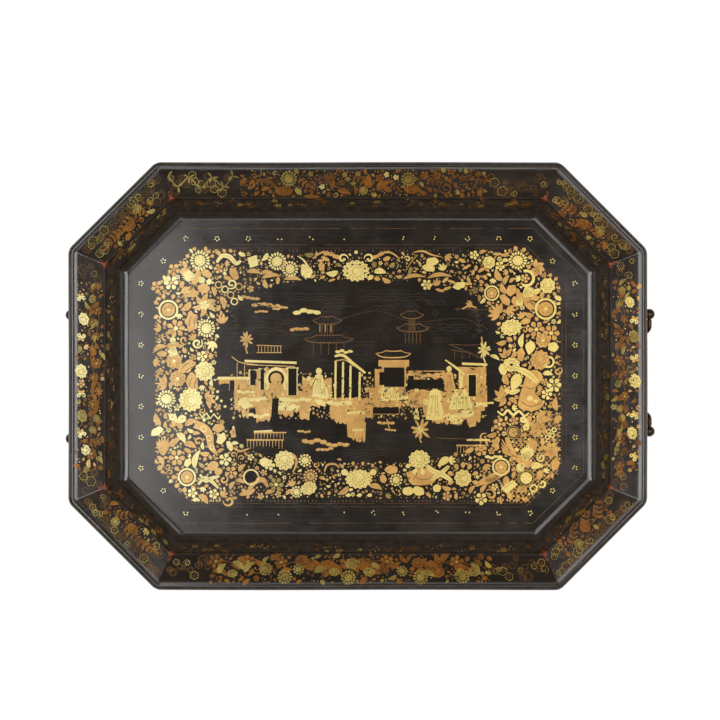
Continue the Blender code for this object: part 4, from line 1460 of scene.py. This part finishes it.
LEFT_PAVILION = (
    (panel, PALE, -153, -4, -116, -1, 3), (panel, PEACH, -150, -8, -118, -4),
    (doorway, -138, -16, -133, -5, PEACH, 1.2),
    (stroke, PEACH, [(-136, 21), (-128, 15), (-118, 13), (-108, 12)], 0.8, 1.2),
    (uprights, PEACH, (-130, -122), 14, -2, 0.8),
    (stroke, PALE, [(-122, 16), (-66, 14)], 2.6, 2.6),
    (stroke, PEACH, [(-120, 12), (-68, 10)], 1.0), (doorway, -116, -10, -110, 6),
    (doorway, -105, -15, -101, 7), (ring, PALE, (-88, -3), 10.5, 3.2, -40, 260),
    (ring, INK, (-88, -3), 7.4, 2.2, -40, 260), (stroke, PALE, [(-97, -10), (-98, -15)], 3.0),
    (stroke, PALE, [(-79, -10), (-78, -15)], 3.0), (doorway, -75, -21, -66, 8, PALE, 2.0),
    (panel, PEACH, -100, -15, -76, -12), (rocks, PEACH, -133, -99, -9, -42, 6),
    (panel, PEACH, -132, -22, -98, -9), (cloud, PALE, (-112, -25), 13),
    (cloud, PALE, (-107, -43), 11), (cloud, PALE, (-121, -17), 9),
    (panel, INK, -94, -53, -87, -24, 2), (panel, PALE, -86, -37, -74, -23, 1),
    (rocks, PEACH, -98, -52, -25, -49, 8), (panel, PEACH, -73, -36, -54, -22),
    (cloud, PALE, (-63, -26), 12), (uprights, PEACH, np.arange(-107, -83, 3.4), 25, 32, 0.6),
    (stroke, PEACH, [(-109, 33), (-82, 32)], 0.8), (stroke, PEACH, [(-109, 25), (-82, 25)], 0.8),
)

SEATED_GROUP = (
    (figure, (-43, -22), 31, PALE, 1), (figure, (-52, -22), 22, PEACH, -1, True),
    (figure, (-37, -24), 16, PALE, 0, True), (stroke, INK, [(-46, -4), (-50, -13)], 0.7),
    (panel, PEACH, -56, -27, -32, -22),
)

MIDDLE_PAVILION = (
    (cloud, PALE, (-15, 26), 9),
    (stroke, PALE, [(-25, 21), (-16, 22), (-6, 14), (8, 3)], 2.2, 2.2, 3.2),
    (stroke, PEACH, [(-24, 16), (-14, 17), (-4, 10)], 1.2),
    (columns,),
    (stroke, PEACH, [(-26, -14), (-17, -14)], 1.6), (panel, PEACH, -30, -36, 8, -24),
    (rocks, PEACH, -30, 8, -34, -52, 8), (rocks, PEACH, -7, 8, -50, -72, 4),
    (cloud, PALE, (-20, -30), 13), (cloud, PALE, (-2, -40), 9), (cloud, PALE, (1, -58), 7),
    (panel, PEACH, 8, -18, 22, -12),
)

HALL = (
    (roof, PEACH, 24, 52, 20, 7), (panel, PEACH, 22, 10, 55, 17),
    (doorway, 28, -12, 50, 9, PEACH, 2.4),
    (stroke, PALE, [(29, 9), (32, 5), (36, 8), (40, 5), (44, 8), (48, 5), (50, 9)], 1.6, 1.6, 1.8),
    (stroke, PEACH, [(54, 5), (94, 5)], 1.0), (figure, (29, -27), 24, PALE, 1),
    (figure, (40, -26), 23, PALE, -1), (figure, (63, -34), 22, PEACH, 0),
    (panel, PALE, 40, -26, 54, -22), (uprights, PALE, (42, 52), -26, -33, 1.2),
    (panel, PEACH, 8, -32, 36, -26), (rocks, PEACH, 10, 74, -27, -36, 14),
    (figure, (82, -47), 42, PALE, 1), (stroke, PEACH, [(74, -44), (72, -30), (77, -17)], 3, 2, 5),
    (figure, (99, -16), 27, PEACH, -1), (panel, INK, 16, -41, 44, -34),
    (uprights, PEACH, (16, 44), -41, -33, 1.0), (stroke, PEACH, [(16, -33), (44, -33)], 1.0),
    (stroke, PEACH, [(16, -41), (44, -41)], 1.0), (figure, (63, -47), 13, PALE),
    (cloud, PEACH, (30, -50), 9), (cloud, PEACH, (35, -58), 6),
    (stroke, PEACH, [(31, -46), (33, -54), (36, -60)], 1.2, 0.8),
)

RIGHT_PAVILION = (
    (stroke, PALE, [(94, 17), (101, 12), (109, 6), (114, 1)], 1.5, 3.6), (stair_treads,),
    (panel, PALE, 109, -13, 113, 4), (stroke, PALE, [(112, 13), (139, 12)], 2.6),
    (stroke, PEACH, [(112, 9), (138, 8)], 1.2), (stroke, PEACH, [(136, 12), (136, -27)], 2.8),
    (doorway, 119, -22, 127, 1, PALE, 2.2), (panel, PEACH, 126, -30, 139, -11),
    (stroke, LINE, [(98, 34), (112, 28)], 0.8), (stroke, LINE, [(112, 28), (137, 17)], 0.8),
    (stroke, LINE, [(100, 28), (124, 24)], 0.8),
    (stroke, LINE, [(101, 34), (118, 33), (137, 34)], 0.7),
    (uprights, LINE, (104, 112, 120, 128), 27, 18, 0.5), (figure, (105, -36), 22, PALE, 1, True),
    (figure, (116, -36), 22, PALE, -1, True), (figure, (125, -38), 16, PEACH, 0, True),
    (panel, PEACH, 88, -38, 134, -30), (rocks, PEACH, 88, 132, -33, -54, 9),
    (blob, PALE, (116, -41), (9, 4), 4, 0.1), (cloud, PALE, (98, -43), 9),
    (cloud, PALE, (130, -31), 9), (stroke, PALE, [(126, -30), (146, -29)], 2.0),
)

WATER = (
    (piles, PEACH, -112, -77, -61, 9), (stroke, PALE, [(-112, -60), (-92, -59)], 1.8),
    (piles, PEACH, -120, -80, -69, 9), (figure, (-134, -66), 12, PEACH),
    (stroke, PEACH, [(-134, -78), (-126, -81), (-117, -78)], 1.0, 1.0, 2.4),
    (piles, PEACH, 106, 141, -75, 9), (stroke, PALE, [(117, -69), (142, -69)], 2.2),
    (stroke, LINE, [(84, -67), (117, -68)], 0.7),
    (sized, cloud, PEACH, (((-47, -70), 13), ((-22, -74), 12), ((-36, -79), 9), ((-58, -60), 7))),
    (star_tree, PEACH, (67, -58), 13, 14), (star_tree, PALE, (67, -58), 6),
    (star_tree, PEACH, (-120, 39), 10, 15), (star_tree, PALE, (136, 28), 10, 14),
    (leaf, PALE, (142, 22), 12, 4, -28),
    (stroke, PEACH, [(133, 42), (134, 34), (136, 28)], 1.6, 1.2),
    (sized, waves_of, FAINT, (((-95, -84), 40), ((10, -80), 50), ((92, -84), 40), ((-40, 88), 60),
     ((40, 88), 70), ((-100, 55), 40), ((95, 55), 50))),
)

# Far islands and towers, nearly worn away
DISTANCE = (
    (sized, cloud, PEACH, (((-116, 84), 10), ((-103, 76), 11), ((-89, 75), 9), ((-104, 69), 7),
     ((-84, 73), 8))),
    (cloud, PALE, (-55, 69), 14), (cloud, PEACH, (-63, 50), 10),
    (stroke, PEACH, [(112, 72), (120, 75), (128, 73)], 1.0, 1.0, 1.8),
    (star_tree, PEACH, (120, 77), 5), (stroke, LINE, [(104, 72), (142, 71)], 0.6),
    (tower, -53, -10, 36), (tower, -44, -22, 56), (tower, 46, 72, 48), (tower, 50, 66, 62),
    (uprights, PEACH, (-41, -35, -29), 55, 47, 0.7),
    (stroke, FAINT, [(-135, 45), (-100, 52), (-60, 44), (-20, 60), (20, 70), (60, 58),
     (110, 62), (140, 50)], 0.6),
    (at_each, waves_of, FAINT, ((-20, 78), (30, 75), (85, 80), (-75, 60), (15, 50), (90, 40),
     (5, 36)), 24, 2),
    (sprig, FAINT, (130, 45), 26, 80, 5, 5), (sprig, FAINT, (-130, 50), 22, 95, 4, 5),
    (far_scrolls,),
)


def gild_scene(sheet):
    for rows in (
        DISTANCE, GROUND, LEFT_PAVILION, SEATED_GROUP, MIDDLE_PAVILION, HALL, RIGHT_PAVILION, WATER
    ):
        paint(sheet, rows)
    busy = Inside((-136, 138), (-46, 4), lambda x, y: sheet.rng.random() < 0.4)
    fill(sheet, busy, 6.0, (PEACH, PALE), (2.0, 1.2), 0.9)


# ---------------------------------------------------------------- rim

RIM_TONES = (AMBER, AMBER, AMBER, OLIVE)


def garland(sheet, start, end, low, high, spread):
    """Flowers and long leaves along a band, from start to end in u and low to high in s."""
    rng = sheet.rng
    u, middle, reach = start, (low + high) / 2, (high - low) / 2
    side = 1
    while u < end:
        s = middle + side * reach * rng.uniform(0.15, 0.5)
        kind = rng.random()
        if kind < 0.3:
            tone = rng.choice((OLIVE, AMBER))
            peony(sheet, tone, (u, s), reach * rng.uniform(0.42, 0.6), None, 0.8)
        elif kind < 0.5:
            aster(sheet, OLIVE, (u, s), reach * rng.uniform(0.4, 0.55), AMBER)
        else:
            radius = reach * rng.uniform(0.45, 0.65)
            blossom(sheet, AMBER, (u, s), radius, 6, OLIVE, rng.uniform(0, 60))
        for _ in range(3):
            base = (u + rng.uniform(-5, 7), middle - side * reach * rng.uniform(-0.1, 0.6))
            length = rng.uniform(0.7, 1.25) * reach
            tone, width = rng.choice(RIM_TONES), length * rng.uniform(0.32, 0.5)
            turn = rng.uniform(-60, 60) + 180 * rng.randint(0, 1)
            leaf(sheet, tone, base, length, width, turn)
        u += rng.uniform(0.85, 1.2) * reach * spread
        side = -side
    stem = [(x, middle + math.sin(x / 13) * reach * 0.5) for x in np.arange(start, end, 9)]
    stroke(sheet, AMBER, stem, 0.7)


def lobed_line(sheet, tone, at, radius, lobes, width):
    """A thin flower outline."""
    points = []
    for i in range(lobes * 6 + 1):
        a = 360 * i / (lobes * 6)
        swell = 0.8 + 0.2 * abs(math.sin(math.radians(a * lobes / 2)))
        points.append(away(at, radius * swell, a))
    stroke(sheet, tone, points, width, smooth=False)


def corner_ground(sheet, start, end, low, high):
    """Thin scrolls, circles and outline flowers, as round each corner of the rim."""
    rng = sheet.rng
    u = start + 4
    while u < end - 3:
        s = rng.uniform(low + 4, high - 3)
        kind = rng.random()
        radius = rng.uniform(3.2, 5.4)
        if kind < 0.4:
            lobed_line(sheet, rng.choice((LINE, OLIVE)), (u, s), radius, rng.choice((5, 6)), 0.55)
            ring(sheet, LINE, (u, s), radius * 0.35, 0.45, points=10)
        elif kind < 0.75:
            tone, turn = rng.choice((LINE, OLIVE)), rng.uniform(0, 360)
            scroll(sheet, tone, (u, s), radius, 0.7, turn, rng.choice((1, -1)))
        else:
            for share in (1.0, 0.62):
                ring(sheet, LINE, (u, s), radius * share, 0.45, points=14)
        u += rng.uniform(2.6, 4.4)


def wall_sprigs(sheet, reach, count):
    """Scattered sprigs and dots on the wall below the upper moulding."""
    rng = sheet.rng
    for _ in range(count):
        at = (rng.uniform(-reach, reach), CREASE + rng.uniform(5, 19))
        kind = rng.random()
        if kind < 0.4:
            tone, length = rng.choice((AMBER, LINE)), rng.uniform(5, 10)
            sprig(sheet, tone, at, length, rng.uniform(0, 360), 2, 3.5)
        elif kind < 0.7:
            blossom(sheet, rng.choice((OLIVE, AMBER)), at, rng.uniform(2.2, 4.2), 5)
        else:
            for _ in range(4):
                dot = away(at, rng.uniform(1, 5), rng.uniform(0, 360))
                blob(sheet, rng.choice((OLIVE, AMBER, PEACH)), dot, (0.9, 0.6), points=7)


def rim_fill(sheet, start, end, low, high, density=0.6, tones=RIM_TONES):
    region = Inside((start, end), (low, high), lambda u, s: sheet.rng.random() < density)
    fill(sheet, region, 6.0, tones, (5.6, 4.0, 2.6, 1.5), 0.7)


def gild_back_rim(sheet):
    """The long rim at the top of the view; u grows toward the left there."""
    long_leaves = (110, 14, 13, 60), (58, 32, 34, 152), (30, 12, 14, 100), (22, 26, 16, 160)
    for u, s, length, turn in long_leaves:
        leaf(sheet, AMBER, (u, s), length, 6.5, turn)
    aster(sheet, OLIVE, (73, 13), 9, OLIVE)
    peony(sheet, AMBER, (78, 27), 10, None, 0.55)
    fan_of(sheet, AMBER, (30, 20), 14, -90, 70, 7, 1.2)
    leaf(sheet, AMBER, (-13, 24), 16, 9, -85)
    leaf(sheet, AMBER, (-20, 27), 17, 8, -140)
    peony(sheet, OLIVE, (-6, 27), 5, None)
    aster(sheet, OLIVE, (-53, 14), 8, OLIVE)
    peony(sheet, AMBER, (-57, 25), 9, None, 0.6)
    scroll(sheet, AMBER, (-93, 24), 7, 1.1)
    scroll(sheet, LINE, (-93, 24), 10, 0.8, 180)
    for u in (108, 96, 62, 44, 6, -32, -72, -110, -122):
        sprig(sheet, AMBER, (u, 8 + (u % 5) * 2), 13, sheet.rng.uniform(20, 160), 3, 5.5)
    for at in ((50, 8), (38, 22), (0, 8), (14, 9), (-30, 9), (-40, 12)):
        blossom(sheet, sheet.rng.choice((OLIVE, PALE)), at, 3, 5)
    rim_fill(sheet, -135, 125, 4, 33)
    vine = [(200, 10), (190, 22), (178, 12), (166, 24), (154, 12), (142, 22), (132, 10)]
    stroke(sheet, OLIVE, vine, 1.3, 0.7)
    for u, s in vine:
        for turn in (30, 150, 270):
            petal(sheet, OLIVE, (u, s), 7, 1.6, turn + u, 3)
    corner_ground(sheet, 130, 208, 5, 33)
    corner_ground(sheet, -206, -136, 5, 33)


def gild_front_rim(sheet):
    garland(sheet, -150, 135, 7, 34, 1.35)
    for at, radius in (((-32, 22), 10), ((-97, 20), 8), ((10, 20), 8), ((78, 22), 9)):
        peony(sheet, AMBER, at, radius, None, 0.65)
    for at in ((-77, 10), (66, 9), (-10, 9), (110, 10)):
        aster(sheet, OLIVE, at, 8, OLIVE)
    rim_fill(sheet, -155, 140, 4, 34, 0.3)
    corner_ground(sheet, -205, -150, 5, 33)
    corner_ground(sheet, 135, 205, 5, 33)


def gild_end_rim(sheet):
    garland(sheet, -95, 95, 15, 33, 1.5)
    flowers = (-60, 12, 7, PALE), (-5, 9, 8, PALE), (42, 10, 7, OLIVE), (78, 14, 6, PALE)
    for u, s, radius, tone in flowers:
        peony(sheet, tone, (u, s), radius, OLIVE, 0.8, 20)
    for u in (-84, -40, 18, 60):
        butterfly(sheet, (u, 9), 6, sheet.rng.uniform(0, 180))
    rim_fill(sheet, -100, 100, 4, 33, 0.28, (AMBER, AMBER, OLIVE, PEACH))
    corner_ground(sheet, -124, -98, 5, 33)
    corner_ground(sheet, 98, 124, 5, 33)


def gild_corner_rim(sheet):
    for u in (-24, -6, 14):
        sprig(sheet, AMBER, (u, 22), 20, sheet.rng.uniform(-25, 25), 4, 7.5)
    peony(sheet, AMBER, (2, 25), 7, None, 0.7)
    aster(sheet, OLIVE, (-16, 17), 5, AMBER)
    rim_fill(sheet, -32, 32, 16, 33, 0.6)
    corner_ground(sheet, -56, 56, 4, 15)
    corner_ground(sheet, -48, -26, 16, 33)
    corner_ground(sheet, 28, 48, 16, 33)


# ---------------------------------------------------------------- pressing the gilding on

def flat_mesh(outlines, cuts):
    """The outlines as one flat triangle mesh, cut across at each s in cuts so that it can bend."""
    verts, faces = [], []
    for outline in outlines:
        first = len(verts)
        corners = [Vector((x, y, 0.0)) for x, y in outline]
        verts += corners
        for a, b, c in tessellate_polygon([corners]):
            area = (corners[b] - corners[a]).cross(corners[c] - corners[a]).z
            if abs(area) > 1e-6:
                b, c = (b, c) if area > 0 else (c, b)
                faces.append((first + a, first + b, first + c))
    if not len(cuts):
        return np.array([v[:2] for v in verts]), faces
    mesh = bpy.data.meshes.new("flat")
    mesh.from_pydata(verts, [], faces)
    bm = bmesh.new()
    bm.from_mesh(mesh)
    for s in cuts:
        whole = bm.verts[:] + bm.edges[:] + bm.faces[:]
        bmesh.ops.bisect_plane(bm, geom=whole, plane_co=(0, s, 0), plane_no=(0, 1, 0), dist=1e-5)
    bmesh.ops.triangulate(bm, faces=bm.faces)
    bm.to_mesh(mesh)
    bm.free()
    verts = np.array([v.co[:2] for v in mesh.vertices])
    faces = [tuple(p.vertices) for p in mesh.polygons]
    bpy.data.meshes.remove(mesh)
    return verts, faces


def press_on(name, flat, surface, rise, look):
    """Thin raised gold: the flat mesh laid on a surface as a closed solid."""
    verts, faces = flat
    top = surface(verts[:, 0], verts[:, 1], rise)
    low = surface(verts[:, 0], verts[:, 1], -SUNK)
    count = len(verts)
    sides = {}
    for face in faces:
        for a, b in zip(face, face[1:] + face[:1]):
            sides[(a, b)] = True
    walls = [(b, a, a + count, b + count) for a, b in sides if (b, a) not in sides]
    under = [tuple(i + count for i in reversed(face)) for face in faces]
    made = mesh_object(name, np.concatenate([top, low]), faces + under + walls, smooth=False)
    dress(made, look, "tray", "gilding" if INK not in name else "black_lacquer")


def lay_gilding(zone, sheet, surface, looks, cuts=()):
    for tone, outlines in sorted(sheet.marks.items()):
        name = f"gilding_{zone}_{tone}"
        press_on(name, flat_mesh(outlines, cuts), surface, RISE[tone], looks[tone])


def make_looks(zone, worn):
    looks = {tone: gilt(f"gold_{zone}_{tone}", tone, worn) for tone in GILT}
    looks[INK] = ink()
    return looks


RIM_CUTS = list(np.arange(3.0, 36.0, 3.0)) + list(np.arange(37.0, 66.0, 6.0))


def make_gilding():
    fresh, rubbed = make_looks("floor", 0.04), make_looks("rim", 0.10)
    lines = Sheet(3)
    gild_lines(lines)
    lay_gilding("lines", lines, press_floor, make_looks("lines", 0.07))
    border = Sheet(11)
    gild_border(border)
    lay_gilding("border", border, press_floor, fresh)
    middle = Sheet(23)
    gild_scene(middle)
    lay_gilding("scene", middle, press_floor, make_looks("scene", 0.075))
    painters = {"back_rail": gild_back_rim, "front_rail": gild_front_rim}
    painters.update({"left_end_rail": gild_end_rim, "right_end_rail": gild_end_rim})
    for i, (name, rail) in enumerate(sorted(RAILS.items())):
        sheet = Sheet(100 + i)
        painters.get(name, gild_corner_rim)(sheet)
        wall_sprigs(sheet, rail.reach(60) - 8, int(rail.run / 7))
        keep_on_rail(sheet, rail)
        lay_gilding(name, sheet, rail.press, rubbed, RIM_CUTS)


# What the gilding leaves bare, in millimetres
MITRE_GAP = 1.2
CROWN_GAP = 0.5
TOE_GAP = 18


def keep_on_rail(sheet, rail):
    """Drops what would cross a mitre, and what runs off the lip or onto the floor."""
    for tone, outlines in sheet.marks.items():
        kept = []
        for outline in outlines:
            u, s = np.array(outline).T
            room = np.interp(s, TOP_S, TOP[:, 0]) * -TAN_HALF + rail.run / 2 - MITRE_GAP
            if (np.abs(u) < room).all() and s.min() > CROWN_GAP and s.max() < TOP_S[-1] - TOE_GAP:
                kept.append(outline)
        sheet.marks[tone] = kept


# ---------------------------------------------------------------- stage

STAND_OFF = 2.0  # camera to the plane of the lip
VIEW_WIDTH = 0.758  # what the picture takes in, at the lip
CAMERA_AT = (0.0022, 0.017)
SENSOR = 36.0
NEAREST = 0.05
WORLD_COLOUR = (1.0, 0.96, 0.90, 1.0)
WORLD_STRENGTH = 0.135
FLOOR_GREYS = ((0.34, 0.34, 0.34), (0.36, 0.36, 0.36))
FLOOR_GLOW = 0.80  # so that the floor reads as white all round, as in the photo
FLOOR_REACH = 4.0
FLOOR_LEVEL = -0.0001
SQUARE = ((-1, -1), (1, -1), (1, 1), (-1, 1))

# Softboxes: name, place, width and depth, radiance in W/m2/sr, and the point that each faces
LIGHTS = (
    ("left_overhead", (-0.59, 0.05, 2.35), (0.38, 1.9), 4.3, (-0.59, 0.05, 0.0)),
    ("far_left_overhead", (-1.01, 0.05, 2.35), (0.46, 1.6), 9.7, (-1.01, 0.05, 0.0)),
    ("right_overhead", (0.96, 0.05, 2.35), (0.50, 1.6), 9.7, (0.96, 0.05, 0.0)),
    ("front_overhead", (-0.05, -0.82, 2.35), (1.10, 0.24), 6.3, (-0.05, -0.82, 0.0)),
    ("back_overhead", (-0.05, 0.98, 2.35), (1.10, 0.22), 3.2, (-0.05, 0.98, 0.0)),
    ("left_softbox", (-2.0, 0.0, 0.80), (0.7, 1.7), 0.8, (0.0, 0.0, 0.0)),
    ("right_softbox", (2.0, 0.0, 0.80), (0.7, 1.7), 1.0, (0.0, 0.0, 0.0)),
)


def make_camera():
    data = bpy.data.cameras.new("camera")
    data.sensor_width = SENSOR
    data.lens = data.sensor_width * STAND_OFF / VIEW_WIDTH
    data.clip_start = NEAREST
    camera = bpy.data.objects.new("camera", data)
    camera.location = (*CAMERA_AT, STAND_OFF + (HEIGHT - 3) * MM)
    bpy.context.scene.collection.objects.link(camera)
    bpy.context.scene.camera = camera


def area_light(name, at, size, radiance, aim):
    data = bpy.data.lights.new(name, "AREA")
    data.shape = "RECTANGLE"
    data.size, data.size_y = size
    data.energy = radiance * math.pi * size[0] * size[1]
    light = bpy.data.objects.new(name, data)
    light.location = at
    light.rotation_euler = (Vector(aim) - Vector(at)).to_track_quat("-Z", "Y").to_euler()
    bpy.context.scene.collection.objects.link(light)


def make_stage():
    scene = bpy.context.scene
    scene.view_settings.view_transform = "Standard"
    world = bpy.data.worlds.new("studio")
    world.use_nodes = True
    world.node_tree.nodes["Background"].inputs["Color"].default_value = WORLD_COLOUR
    world.node_tree.nodes["Background"].inputs["Strength"].default_value = WORLD_STRENGTH
    scene.world = world
    for values in LIGHTS:
        area_light(*values)
    look = Look("pale_floor", 0.8)
    flat = look.place()
    look.link(look.blend(look.noise(flat, 3.0), *FLOOR_GREYS), "Base Color")
    look.shader.inputs["Emission Color"].default_value = (1.0, 1.0, 1.0, 1.0)
    look.shader.inputs["Emission Strength"].default_value = FLOOR_GLOW
    corners = [(x * FLOOR_REACH, y * FLOOR_REACH, FLOOR_LEVEL) for x, y in SQUARE]
    floor = mesh_object("floor", corners, [(0, 1, 2, 3)], smooth=False)
    floor.data.materials.append(look.material)


# ---------------------------------------------------------------- assembly

def make_lacquered_parts():
    look = lacquer("black_lacquer")
    for name, rail in RAILS.items():
        dress(rail_mesh(rail), look, "tray", "black_lacquer", name)
    dress(floor_mesh(), look, "tray", "black_lacquer", "floor_panel")


def make_handles():
    brass = dark_brass()
    for name, handle in HANDLES.items():
        bail = bail_mesh(f"{name}_bail_cast", handle)
        dress(bail, brass, f"{name}_handle", "dark_brass", f"{name}_bail")
    dress_nodes(("post", "washer"), brass)


def dress_nodes(words, look):
    """Gives the CAD nodes that stay, and have one of the words in their names, their material."""
    for name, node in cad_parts.items():
        if any(word in name for word in words):
            for slot in node.material_slots:
                slot.material = look


make_camera()
make_stage()
make_lacquered_parts()
make_handles()
dress_nodes(("mitre_key",), key_wood())
make_gilding()
